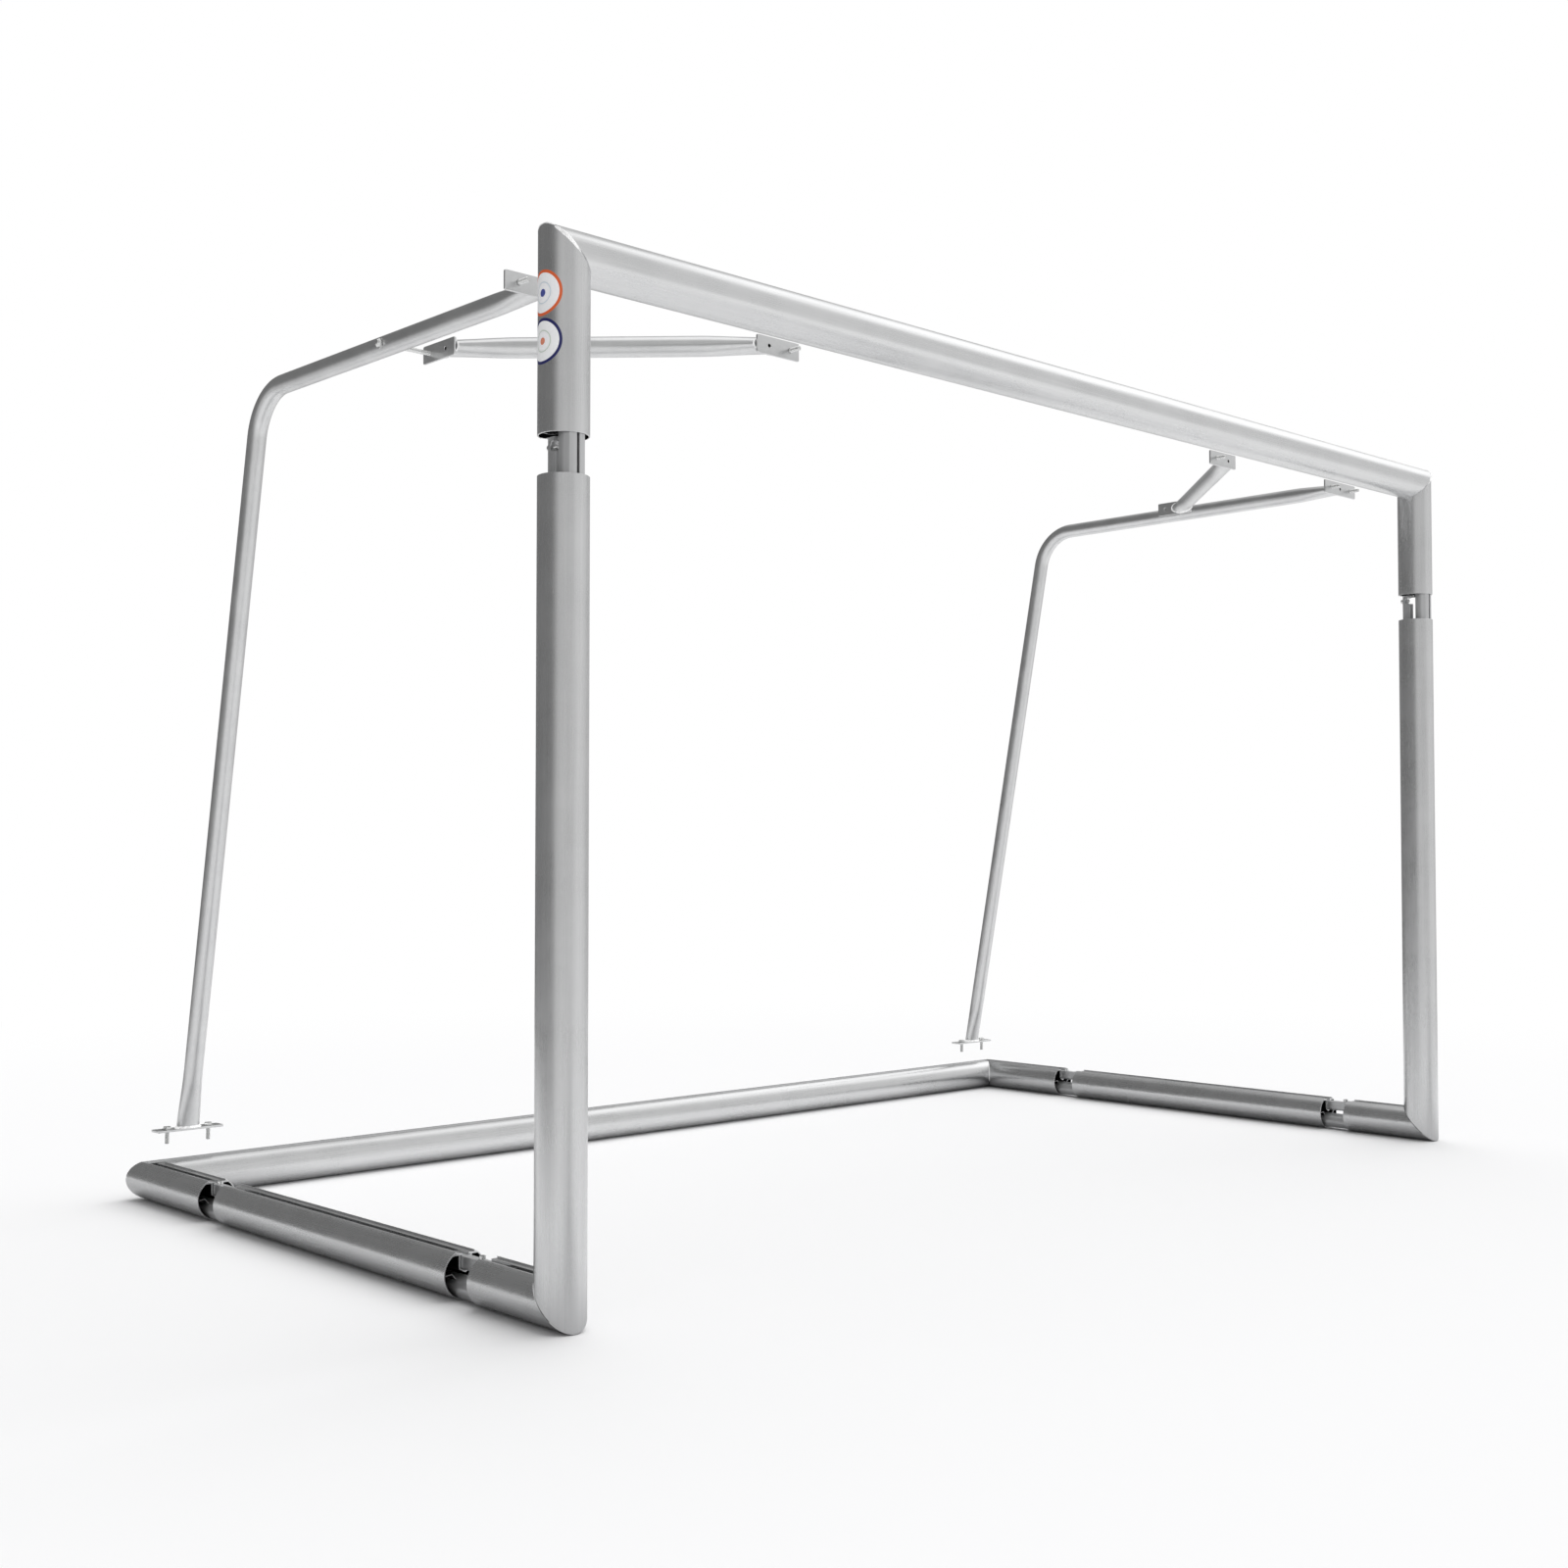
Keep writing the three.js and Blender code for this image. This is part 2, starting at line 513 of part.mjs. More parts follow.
for (const [side, sign] of [['left', -1], ['right', 1]]) {
  const stayX = sign * STAY_X;

  const crossHole = new THREE.CylinderGeometry(BOLT_HOLE_R, BOLT_HOLE_R, 3 * STAY_TUBE_R, 24);
  crossHole.rotateZ(Math.PI / 2).translate(0, braceBoltY, CROSSBAR_Z);
  const stay = new THREE.Mesh(cut(roundTubeGeometry(stayStationList), crossHole), zincSteel);
  stay.name = `${side}_stay_tube`;
  stay.position.set(stayX, 0, 0);
  goal.add(stay);

  const stayHoles = [[-STAY_BOLT_HALF_PITCH, BOLT_HOLE_R], vent, [STAY_BOLT_HALF_PITCH, BOLT_HOLE_R]];
  const stayPlate = plateGeometry(-STAY_PLATE_LENGTH / 2, STAY_PLATE_LENGTH / 2, stayHoles);
  const foot = tubeFrame(at(stayX, REAR_Y, FOOT_PLATE_Z), Z, Y);
  addPiece(`${side}_foot_plate`, stayPlate, zincSteel, foot);
  const bracket = tubeFrame(at(stayX, BRACKET_Y, CROSSBAR_Z), Y, Z);
  addPiece(`${side}_top_bracket`, stayPlate, zincSteel, bracket);

  const shankLength = PLATE_THICKNESS + FIT_GAP + BOLT_REACH;
  const plateBolt = hexBoltGeometry(shankLength, HEX_HEIGHT);
  const headGap = PLATE_THICKNESS + FIT_GAP;
  for (const [place, offset] of [['outer', STAY_BOLT_HALF_PITCH], ['inner', -STAY_BOLT_HALF_PITCH]]) {
    const boltX = stayX + sign * offset;
    const footBolt = tubeFrame(at(boltX, REAR_Y, FOOT_PLATE_Z), Z, Y);
    addPiece(`${side}_foot_${place}_bolt`, plateBolt, boltSteel, footBolt, headGap);
    const bracketBolt = tubeFrame(at(boltX, BRACKET_Y, CROSSBAR_Z), Y, Z);
    addPiece(`${side}_bracket_${place}_bolt`, plateBolt, boltSteel, bracketBolt, headGap);
  }

  const stripHoles = [-STAY_BOLT_HALF_PITCH, STAY_BOLT_HALF_PITCH];
  const strip = slotNutGeometry(STRIP_LENGTH, stripHoles);
  const barStrip = tubeFrame(at(stayX, 0, CROSSBAR_Z), X, Y);
  addPiece(`${side}_bracket_slot_nut`, strip, zincSteel, barStrip);
  const footStrip = tubeFrame(at(stayX, REAR_Y, TUBE_R), X, Z);
  addPiece(`${side}_foot_slot_nut`, strip, zincSteel, footStrip);

  const brace = new THREE.Group();
  brace.name = `${side}_brace`;
  brace.position.set(sign * braceTubeStart, braceTubeStartY, CROSSBAR_Z);
  brace.rotation.z = sign < 0 ? 0 : -Math.PI / 2;
  const braceTube = new THREE.Mesh(roundTubeGeometry(braceStations(braceLength, sign)), zincSteel);
  braceTube.name = `${side}_brace_tube`;
  brace.add(braceTube);
  goal.add(brace);

  const bracePlateHoles = [vent, [BRACE_BOLT_FROM_VENT, BOLT_HOLE_R]];
  const plateEnd = BRACE_PLATE_LENGTH - BRACE_VENT_FROM_END;
  const bracePlate = plateGeometry(-BRACE_VENT_FROM_END, plateEnd, bracePlateHoles);
  const mirroredHoles = bracePlateHoles.map(([holeX, radius]) => [-holeX, radius]);
  const mirroredPlate = plateGeometry(-plateEnd, BRACE_VENT_FROM_END, mirroredHoles);

  // The stay-end plate faces outwards and its bolt hole is behind its vent hole.
  const outwards = X.clone().multiplyScalar(sign);
  const stayEnd = tubeFrame(at(sign * BRACE_STAY_X, BRACE_STAY_VENT_Y, CROSSBAR_Z), outwards, Z);
  const stayEndPlate = sign < 0 ? mirroredPlate : bracePlate;
  addPiece(`${side}_brace_stay_plate`, stayEndPlate, zincSteel, stayEnd, -PLATE_THICKNESS);

  // The crossbar-end plate has its bolt hole towards the middle of the goal.
  const barEnd = tubeFrame(at(sign * BRACE_BAR_VENT_X, BRACKET_Y, CROSSBAR_Z), Y, Z);
  const barEndPlate = sign < 0 ? mirroredPlate : bracePlate;
  addPiece(`${side}_brace_bar_plate`, barEndPlate, zincSteel, barEnd);
  const barBolt = tubeFrame(at(sign * braceBoltX, BRACKET_Y, CROSSBAR_Z), Y, Z);
  addPiece(`${side}_brace_bar_bolt`, plateBolt, boltSteel, barBolt, headGap);
  const braceNut = slotNutGeometry(BRACE_NUT_LENGTH, [0]);
  const barNut = tubeFrame(at(sign * braceBoltX, 0, CROSSBAR_Z), X, Y);
  addPiece(`${side}_brace_slot_nut`, braceNut, zincSteel, barNut);

  // The long bolt runs from outside the stay through it to the brace plate.
  const headX = STAY_X + STAY_TUBE_R + FIT_GAP;
  const longShank = headX - BRACE_STAY_X + PLATE_THICKNESS / 2;
  const stayBolt = tubeFrame(at(sign * headX, braceBoltY, CROSSBAR_Z), outwards, Z);
  addPiece(`${side}_brace_stay_bolt`, hexBoltGeometry(longShank, 11), boltSteel, stayBolt);
}

export default goal;
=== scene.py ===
"""Soccer goal frame: finer meshes, materials, floor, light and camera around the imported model."""
import json
import math

import bpy
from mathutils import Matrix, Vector
from mathutils.geometry import tessellate_polygon


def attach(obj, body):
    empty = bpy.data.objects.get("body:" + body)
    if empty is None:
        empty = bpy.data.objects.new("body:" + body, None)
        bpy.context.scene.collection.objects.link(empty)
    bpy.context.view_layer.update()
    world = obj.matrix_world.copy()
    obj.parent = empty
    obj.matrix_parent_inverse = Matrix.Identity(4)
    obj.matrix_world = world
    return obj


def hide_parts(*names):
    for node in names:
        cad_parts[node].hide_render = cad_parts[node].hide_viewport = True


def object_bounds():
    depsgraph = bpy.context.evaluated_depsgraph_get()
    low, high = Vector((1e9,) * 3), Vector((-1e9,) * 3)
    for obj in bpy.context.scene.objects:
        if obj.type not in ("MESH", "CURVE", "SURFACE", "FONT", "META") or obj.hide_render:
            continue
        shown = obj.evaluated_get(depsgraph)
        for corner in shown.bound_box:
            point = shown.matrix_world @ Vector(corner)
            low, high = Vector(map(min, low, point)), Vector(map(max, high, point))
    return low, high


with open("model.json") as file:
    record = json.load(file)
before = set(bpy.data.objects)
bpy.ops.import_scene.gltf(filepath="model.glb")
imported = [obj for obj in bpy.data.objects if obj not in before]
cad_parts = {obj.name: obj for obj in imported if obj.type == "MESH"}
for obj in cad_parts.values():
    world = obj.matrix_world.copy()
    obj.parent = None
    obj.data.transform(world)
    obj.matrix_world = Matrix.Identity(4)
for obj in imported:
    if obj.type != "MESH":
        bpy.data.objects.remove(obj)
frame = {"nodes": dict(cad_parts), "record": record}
CAD_LOW, CAD_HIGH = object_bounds()
BODY_OF = {
    node: body
    for body, nodes in frame["record"]["behaviour"]["bodies"].items()
    for node in nodes
}

# ---------------------------------------------------------------- camera
CAMERA_PLACE = (-3.5232, -2.6787, 0.8572)
CAMERA_YAW = 43.2465  # degrees from +Y towards +X
CAMERA_PITCH = 1.8844
CAMERA_LENS = 42.48

camera_data = bpy.data.cameras.new("camera")
camera_data.lens = CAMERA_LENS
camera_data.sensor_width = 36.0
camera_data.clip_start = 0.05
camera_data.clip_end = 200.0
camera = bpy.data.objects.new("camera", camera_data)
camera.location = CAMERA_PLACE
camera.rotation_euler = (math.radians(90 + CAMERA_PITCH), 0, -math.radians(CAMERA_YAW))
bpy.context.collection.objects.link(camera)
bpy.context.scene.camera = camera
bpy.context.scene.view_settings.view_transform = "Standard"

# ---------------------------------------------------------------- sizes, in millimetres
MM = 0.001
POST_X = 1547.5
POST_GAP = 73
BASE_GAP = 75.5
CROSSBAR_Z = 1920.5
REAR_Y = 1651
FRONT_STUB = 225
REAR_STUB = 336
TOP_STUB = 329.5
RAIL_START = FRONT_STUB + BASE_GAP
RAIL_END = REAR_Y - REAR_STUB - BASE_GAP
POST_TOP = CROSSBAR_Z - TOP_STUB - POST_GAP
WELD_GAP = 0.25
FIT_GAP = 0.3
MITRE_BEVEL = 1.2

TUBE_R = 47.5
WALL = 3
RECESS_HALF = 20
LEDGE_W = 39.5
LIP_W = 35.5
SLOT_HALF = 7
CHAMBER_HALF = 11
WEB_OUT = 15

STAY_X = 1460
STAY_R = 22
STAY_WALL = 2.5
BEND_R = 130
LEAN = math.radians(11.07)
PLATE_T = 5
PLATE_H = 39
FOOT_Z = 160
BRACKET_Y = 190
BRACE_STAY_X = 1358.5
BRACE_VENT_Y = 682
BRACE_VENT_X = 867
BRACE_BOLT = 60
BOLT_REACH = 30

X, Y, Z = Vector((1, 0, 0)), Vector((0, 1, 0)), Vector((0, 0, 1))


# ---------------------------------------------------------------- node helpers
def new_material(name):
    material = bpy.data.materials.new(name)
    material.use_nodes = True
    nodes = material.node_tree.nodes
    nodes.clear()
    output = nodes.new("ShaderNodeOutputMaterial")
    shader = nodes.new("ShaderNodeBsdfPrincipled")
    material.node_tree.links.new(shader.outputs["BSDF"], output.inputs["Surface"])
    return material, shader


def grain_vector(tree, scale):
    """The piece's own coordinates (across, out, along) in metres, scaled."""
    attribute = tree.nodes.new("ShaderNodeAttribute")
    attribute.attribute_name = "grain"
    mapping = tree.nodes.new("ShaderNodeMapping")
    mapping.inputs["Scale"].default_value = scale
    tree.links.new(attribute.outputs["Vector"], mapping.inputs["Vector"])
    return mapping.outputs["Vector"]


def noise(tree, vector, scale, detail=2.0, roughness=0.5):
    node = tree.nodes.new("ShaderNodeTexNoise")
    node.inputs["Scale"].default_value = scale
    node.inputs["Detail"].default_value = detail
    node.inputs["Roughness"].default_value = roughness
    tree.links.new(vector, node.inputs["Vector"])
    return node.outputs["Fac"]


def spread(tree, value, low, high, from_low=0.3, from_high=0.7):
    node = tree.nodes.new("ShaderNodeMapRange")
    node.inputs["From Min"].default_value = from_low
    node.inputs["From Max"].default_value = from_high
    node.inputs["To Min"].default_value = low
    node.inputs["To Max"].default_value = high
    tree.links.new(value, node.inputs["Value"])
    return node.outputs["Result"]


def add_math(tree, operation, first, second):
    node = tree.nodes.new("ShaderNodeMath")
    node.operation = operation
    for socket, value in zip(node.inputs, (first, second)):
        if isinstance(value, (int, float)):
            socket.default_value = value
        else:
            tree.links.new(value, socket)
    return node.outputs["Value"]


def color_between(tree, factor, low, high):
    ramp = tree.nodes.new("ShaderNodeValToRGB")
    ramp.color_ramp.elements[0].color = (*low, 1)
    ramp.color_ramp.elements[1].color = (*high, 1)
    tree.links.new(factor, ramp.inputs["Fac"])
    return ramp.outputs["Color"]


def add_bump(tree, shader, height, strength, distance):
    bump = tree.nodes.new("ShaderNodeBump")
    bump.inputs["Strength"].default_value = strength
    bump.inputs["Distance"].default_value = distance
    tree.links.new(height, bump.inputs["Height"])
    tree.links.new(bump.outputs["Normal"], shader.inputs["Normal"])


# ---------------------------------------------------------------- materials
def extruded_metal(name, dark, light, roughness, streak_bump, metallic=1.0):
    """Extruded alloy: fine die lines along the tube, soft patches of haze."""
    material, shader = new_material(name)
    tree = material.node_tree
    shader.inputs["Metallic"].default_value = metallic
    fine = noise(tree, grain_vector(tree, (1, 1, 0.004)), 1400, 3.0, 0.6)
    broad = noise(tree, grain_vector(tree, (1, 1, 0.02)), 160, 2.0)
    haze = noise(tree, grain_vector(tree, (1, 1, 1)), 9, 3.0)
    tint = add_math(tree, "ADD", spread(tree, broad, 0.0, 0.5), spread(tree, haze, 0.0, 0.5))
    tree.links.new(color_between(tree, tint, dark, light), shader.inputs["Base Color"])
    low, high = roughness
    lines = spread(tree, fine, -0.035, 0.035)
    base = spread(tree, haze, low, high)
    tree.links.new(add_math(tree, "ADD", base, lines), shader.inputs["Roughness"])
    add_bump(tree, shader, fine, streak_bump, 0.0002)
    return material


def galvanised_metal(name, dark, light, roughness):
    """Zinc-coated steel: faint spangle cells under a satin skin."""
    material, shader = new_material(name)
    tree = material.node_tree
    shader.inputs["Metallic"].default_value = 1.0
    cells = tree.nodes.new("ShaderNodeTexVoronoi")
    cells.inputs["Scale"].default_value = 150
    tree.links.new(grain_vector(tree, (1, 1, 0.7)), cells.inputs["Vector"])
    spangle = tree.nodes.new("ShaderNodeSeparateColor")
    tree.links.new(cells.outputs["Color"], spangle.inputs["Color"])
    haze = noise(tree, grain_vector(tree, (1, 1, 1)), 14, 4.0)
    grit = noise(tree, grain_vector(tree, (1, 1, 1)), 900, 2.0)
    tint = add_math(
        tree, "ADD",
        spread(tree, spangle.outputs["Red"], 0.0, 0.25, 0.0, 1.0),
        spread(tree, haze, 0.0, 0.75),
    )
    tree.links.new(color_between(tree, tint, dark, light), shader.inputs["Base Color"])
    low, high = roughness
    base = spread(tree, haze, low, high)
    flecks = spread(tree, spangle.outputs["Green"], -0.015, 0.015, 0.0, 1.0)
    tree.links.new(add_math(tree, "ADD", base, flecks), shader.inputs["Roughness"])
    add_bump(tree, shader, grit, 0.12, 0.0002)
    return material


def bolt_metal(name):
    """Bright zinc plate: turned rings round the axis and small handling marks."""
    material, shader = new_material(name)
    tree = material.node_tree
    shader.inputs["Metallic"].default_value = 1.0
    marks = noise(tree, grain_vector(tree, (1, 1, 1)), 420, 3.0)
    rings = noise(tree, grain_vector(tree, (0.05, 0.05, 1)), 2600, 1.0)
    color = color_between(tree, marks, (0.66, 0.67, 0.67), (0.9, 0.9, 0.89))
    tree.links.new(color, shader.inputs["Base Color"])
    tree.links.new(spread(tree, marks, 0.16, 0.34), shader.inputs["Roughness"])
    add_bump(tree, shader, rings, 0.1, 0.0001)
    return material


def weld_metal(name, dark, light, roughness, metallic, glow):
    """Weld metal with darker patches; the glow is a painted highlight, an emission in the bead's
    own colour that keeps it white where the lamps leave it grey.
    """
    material, shader = new_material(name)
    tree = material.node_tree
    shader.inputs["Metallic"].default_value = metallic
    patches = noise(tree, grain_vector(tree, (1, 1, 1)), 90, 4.0)
    color = color_between(tree, spread(tree, patches, 0.0, 1.0, 0.3, 0.5), dark, light)
    tree.links.new(color, shader.inputs["Base Color"])
    tree.links.new(spread(tree, patches, *roughness), shader.inputs["Roughness"])
    # Painted highlight: the weld glows in its own colour.
    tree.links.new(color, shader.inputs["Emission Color"])
    shader.inputs["Emission Strength"].default_value = glow
    add_bump(tree, shader, noise(tree, grain_vector(tree, (1, 1, 1)), 1500, 2.0), 0.2, 0.0002)
    return material


def printed_vinyl(name, ring_color, dots):
    """A plain round sticker: coloured rim, pale field and centred discs, largest first; a weak glow
    in its own colour is painted light that keeps it bright.
    """
    material, shader = new_material(name)
    tree = material.node_tree
    attribute = tree.nodes.new("ShaderNodeAttribute")
    attribute.attribute_name = "grain"
    place = attribute.outputs["Vector"]

    radial = tree.nodes.new("ShaderNodeVectorMath")
    radial.operation = "LENGTH"
    tree.links.new(place, radial.inputs[0])
    from_centre = radial.outputs["Value"]

    def paint(factor, under, ink):
        node = tree.nodes.new("ShaderNodeMix")
        node.data_type = "RGBA"
        tree.links.new(factor, node.inputs["Factor"])
        tree.links.new(under, node.inputs["A"])
        node.inputs["B"].default_value = (*ink, 1)
        return node.outputs["Result"]

    fading = noise(tree, place, 160, 3.0)
    color = color_between(tree, fading, (0.86, 0.87, 0.89), (0.95, 0.95, 0.96))
    for radius, dot_color in dots:
        edge = spread(tree, from_centre, 1.0, 0.0, radius - 0.0004, radius + 0.0004)
        color = paint(edge, color, dot_color)
    rim = spread(tree, from_centre, 0.0, 1.0, STICKER_R * 0.86, STICKER_R * 0.875)
    color = paint(rim, color, ring_color)
    tree.links.new(color, shader.inputs["Base Color"])
    tree.links.new(spread(tree, fading, 0.28, 0.4), shader.inputs["Roughness"])
    # Painted light: the print glows at 0.2 so the side turned from the lamps still reads pale.
    tree.links.new(color, shader.inputs["Emission Color"])
    shader.inputs["Emission Strength"].default_value = 0.2
    add_bump(tree, shader, noise(tree, place, 1200, 2.0), 0.05, 0.0001)
    return material


STICKER_R = 0.0415
ANODISED = extruded_metal(
    "anodised_tube", (0.7, 0.705, 0.71), (0.79, 0.793, 0.796), (0.25, 0.33), 0.1)
CAST = extruded_metal(
    "cast_connector", (0.6, 0.605, 0.61), (0.7, 0.705, 0.71), (0.38, 0.48), 0.15, 0.75)
GALVANISED = galvanised_metal(
    "galvanised_steel", (0.72, 0.725, 0.73), (0.82, 0.825, 0.825), (0.28, 0.36))
BRIGHT = bolt_metal("bright_bolt")
# Painted highlight: every weld in this finish glows at 0.3, so the beads at the top mitres read
# white.
WELD = weld_metal("weld_bead", (0.6, 0.6, 0.6), (0.97, 0.97, 0.97), (0.2, 0.35), 0.4, 0.3)
SEAM = weld_metal("dark_seam", (0.01, 0.01, 0.01), (0.22, 0.22, 0.22), (0.4, 0.6), 0.6, 0.0)
# Painted shade: the hollow tubes' inner walls are near black, standing in for the shade inside the
# cavities.
PAINTED_SHADE_INSIDE = extruded_metal(
    "painted_shade_inside", (0.012, 0.012, 0.013), (0.03, 0.03, 0.031), (0.55, 0.7), 0.1)
PALE = (0.92, 0.92, 0.94)
ORANGE_STICKER = printed_vinyl(
    "orange_sticker", (0.68, 0.12, 0.035),
    [(0.0205, (0.66, 0.72, 0.76)), (0.0175, PALE), (0.0072, (0.06, 0.08, 0.3))],
)
NAVY_STICKER = printed_vinyl(
    "navy_sticker", (0.015, 0.018, 0.11),
    [(0.0205, (0.62, 0.68, 0.62)), (0.0175, PALE), (0.0066, (0.7, 0.25, 0.16))],
)


# ---------------------------------------------------------------- mesh helpers
class Frame:
    """Local axes of a tube: u across, w out of the groove, t along. Lengths in millimetres."""

    def __init__(self, origin, along, groove):
        self.origin = Vector(origin)
        self.along = along
        self.groove = groove
        self.across = groove.cross(along)

    def place(self, point):
        u, w, t = point
        world = self.origin + self.across * u + self.groove * w + self.along * t
        return world * MM


def shift(frame_, distance):
    return Frame(frame_.origin + frame_.along * distance, frame_.along, frame_.groove)


def polygon_area(points):
    return 0.5 * sum(
        a[0] * b[1] - b[0] * a[1] for a, b in zip(points, points[1:] + points[:1])
    )


def offset_outline(points, distance):
    """Moves a counter-clockwise outline inwards by distance (outwards when negative)."""
    moved = []
    count = len(points)
    for i, (x, y) in enumerate(points):
        ax, ay = points[i - 1]
        bx, by = points[(i + 1) % count]
        first = Vector((x - ax, y - ay)).normalized()
        second = Vector((bx - x, by - y)).normalized()
        normal = Vector((-(first.y + second.y), first.x + second.x))
        if normal.length < 1e-9:
            normal = Vector((-first.y, first.x))
        normal.normalize()
        reach = distance / max(normal.dot(Vector((-first.y, first.x))), 0.4)
        moved.append((x + normal.x * reach, y + normal.y * reach))
    return moved


def rounded(corners, steps=4):
    """Turns (x, y, radius) corners into an outline with curved corners."""
    outline = []
    count = len(corners)
    for i, (x, y, radius) in enumerate(corners):
        here = Vector((x, y))
        if radius <= 0:
            outline.append((x, y))
            continue
        before = Vector(corners[i - 1][:2]) - here
        after = Vector(corners[(i + 1) % count][:2]) - here
        reach = min(radius, 0.45 * before.length, 0.45 * after.length)
        start = here + before.normalized() * reach
        end = here + after.normalized() * reach
        for k in range(steps + 1):
            s = k / steps
            point = start * (1 - s) ** 2 + here * (2 * s * (1 - s)) + end * s**2
            outline.append((point.x, point.y))
    return outline


def mirrored(half):
    """Closes a half outline that starts and ends on the middle line."""
    other = [(-x, y, r) for x, y, r in reversed(half[1:-1])]
    return half + other


def arc(radius, start, end, steps):
    points = []
    for i in range(steps + 1):
        angle = start + (end - start) * i / steps
        points.append((radius * math.cos(angle), radius * math.sin(angle), 0))
    return points


def counter_clockwise(points):
    return points if polygon_area(points) > 0 else list(reversed(points))


SHARP_ANGLE = math.radians(35)


def mark_and_finish(mesh, grain):
    """Smooth faces with sharp creases, and the local coordinates kept for the materials."""
    attribute = mesh.attributes.new("grain", "FLOAT_VECTOR", "POINT")
    flat = [value * MM for point in grain for value in point]
    attribute.data.foreach_set("vector", flat)
    mesh.polygons.foreach_set("use_smooth", [True] * len(mesh.polygons))
    normals = {}
    for polygon in mesh.polygons:
        for key in polygon.edge_keys:
            normals.setdefault(key, []).append(polygon.normal.copy())
    for edge in mesh.edges:
        pair = normals.get(tuple(sorted(edge.vertices)), [])
        if len(pair) == 2 and pair[0].length and pair[1].length:
            edge.use_edge_sharp = pair[0].angle(pair[1]) > SHARP_ANGLE


def add_piece(name, points, faces, grain, material, body, nodes=(), inside=None):
    """Makes one riding piece; inside is (material, first face, last face) for hidden walls."""
    mesh = bpy.data.meshes.new(name)
    mesh.from_pydata(points, [], faces)
    mark_and_finish(mesh, grain)
    mesh.materials.append(material)
    if inside:
        inner_material, first, last = inside
        mesh.materials.append(inner_material)
        for polygon in mesh.polygons[first:last]:
            polygon.material_index = 1
    piece = bpy.data.objects.new(name, mesh)
    bpy.context.collection.objects.link(piece)
    weighted = piece.modifiers.new("even_normals", "WEIGHTED_NORMAL")
    weighted.keep_sharp = True
    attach(piece, body)
    if nodes:
        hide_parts(*nodes)
    return piece


def ring_faces(start_a, start_b, count, flip=False):
    faces = []
    for i in range(count):
        j = (i + 1) % count
        face = (start_a + i, start_a + j, start_b + j, start_b + i)
        faces.append(face[::-1] if flip else face)
    return faces


def prism(name, outline, holes, place, length, material, body, nodes=(),
          start_cut=(0, 0), end_cut=(0, 0), chamfer=0.5, ring_spacing=400, inner=None):
    """Extrudes an outline with holes along t, with chamfered ends that may be mitred."""
    loops = [counter_clockwise(outline)]
    loops += [list(reversed(counter_clockwise(hole))) for hole in holes]
    points, grain, faces = [], [], []
    cap_loops = []
    middle = max(1, int(length // ring_spacing))
    hole_faces = None
    for loop in loops:
        count = len(loop)
        if hole_faces is None and loop is not loops[0]:
            hole_faces = len(faces)
        first_edge = MITRE_BEVEL if start_cut != (0, 0) else chamfer
        last_edge = MITRE_BEVEL if end_cut != (0, 0) else chamfer
        first_inset = offset_outline(loop, first_edge)
        last_inset = offset_outline(loop, last_edge)
        stations = [(0.0, first_inset, start_cut, WELD_GAP)]
        stations.append((first_edge, loop, start_cut, WELD_GAP))
        for k in range(1, middle):
            stations.append((length * k / middle, loop, (0, 0), 0))
        stations.append((length - last_edge, loop, end_cut, -WELD_GAP))
        stations.append((length, last_inset, end_cut, -WELD_GAP))
        starts = []
        for distance, ring, cut, back in stations:
            starts.append(len(points))
            for u, w in ring:
                t = distance + cut[0] * u + cut[1] * w + (back if cut != (0, 0) else 0)
                grain.append((u, w, t))
                points.append(place((u, w, t)))
        for a, b in zip(starts, starts[1:]):
            faces += ring_faces(a, b, count)
        cap_loops.append((starts[0], starts[-1], loop))
    inside = (inner, hole_faces, len(faces)) if inner else None
    flat = [[Vector((u, w, 0)) for u, w in loop] for _, _, loop in cap_loops]
    first_index = [first + i for first, _, loop in cap_loops for i in range(len(loop))]
    last_index = [last + i for _, last, loop in cap_loops for i in range(len(loop))]
    flat_points = [point for loop in flat for point in loop]
    for a, b, c in tessellate_polygon(flat):
        pa, pb, pc = flat_points[a], flat_points[b], flat_points[c]
        turn = (pb - pa).cross(pc - pa).z
        if turn < 0:
            b, c = c, b
        faces.append((last_index[a], last_index[b], last_index[c]))
        faces.append((first_index[a], first_index[c], first_index[b]))
    return add_piece(name, points, faces, grain, material, body, nodes, inside)


# ---------------------------------------------------------------- grooved tubes
def tube_outline():
    edge = math.sqrt(TUBE_R**2 - RECESS_HALF**2)
    half = [
        (0, 5.6, 1.5),
        (CHAMBER_HALF, 11.7, 0.8),
        (CHAMBER_HALF, LIP_W, 0.8),
        (SLOT_HALF, LIP_W, 0.7),
        (SLOT_HALF, LEDGE_W, 0.9),
        (RECESS_HALF, LEDGE_W, 0.5),
        (RECESS_HALF, edge, 0.9),
    ]
    half += arc(TUBE_R, math.atan2(edge, RECESS_HALF), -math.pi / 2, 48)[1:]
    return rounded(mirrored(half), 3)


def tube_cavity():
    inner = TUBE_R - WALL
    ledge_out = math.sqrt(inner**2 - LIP_W**2)
    half = [(0, 2.2, 1.5), (WEB_OUT, 10.5, 1.0), (WEB_OUT, LIP_W, 1.0)]
    half += arc(inner, math.atan2(LIP_W, ledge_out), math.asin(2.9 / inner), 12)
    half += [(29, 4.4, 1.0), (19.2, -6.6, 0.8), (21.1, -8.3, 0.8), (30, 1.8, 1.0)]
    half += arc(inner, math.asin(0.3 / inner), -math.pi / 2, 24)
    return rounded(mirrored(half), 3)


OUTLINE = tube_outline()
CAVITY = tube_cavity()


def tube(node, frame_, length, start_cut=(0, 0), end_cut=(0, 0)):
    prism(f"{node}_tube", OUTLINE, [CAVITY], frame_.place, length, ANODISED, BODY_OF[node],
          [node], start_cut, end_cut, inner=PAINTED_SHADE_INSIDE)


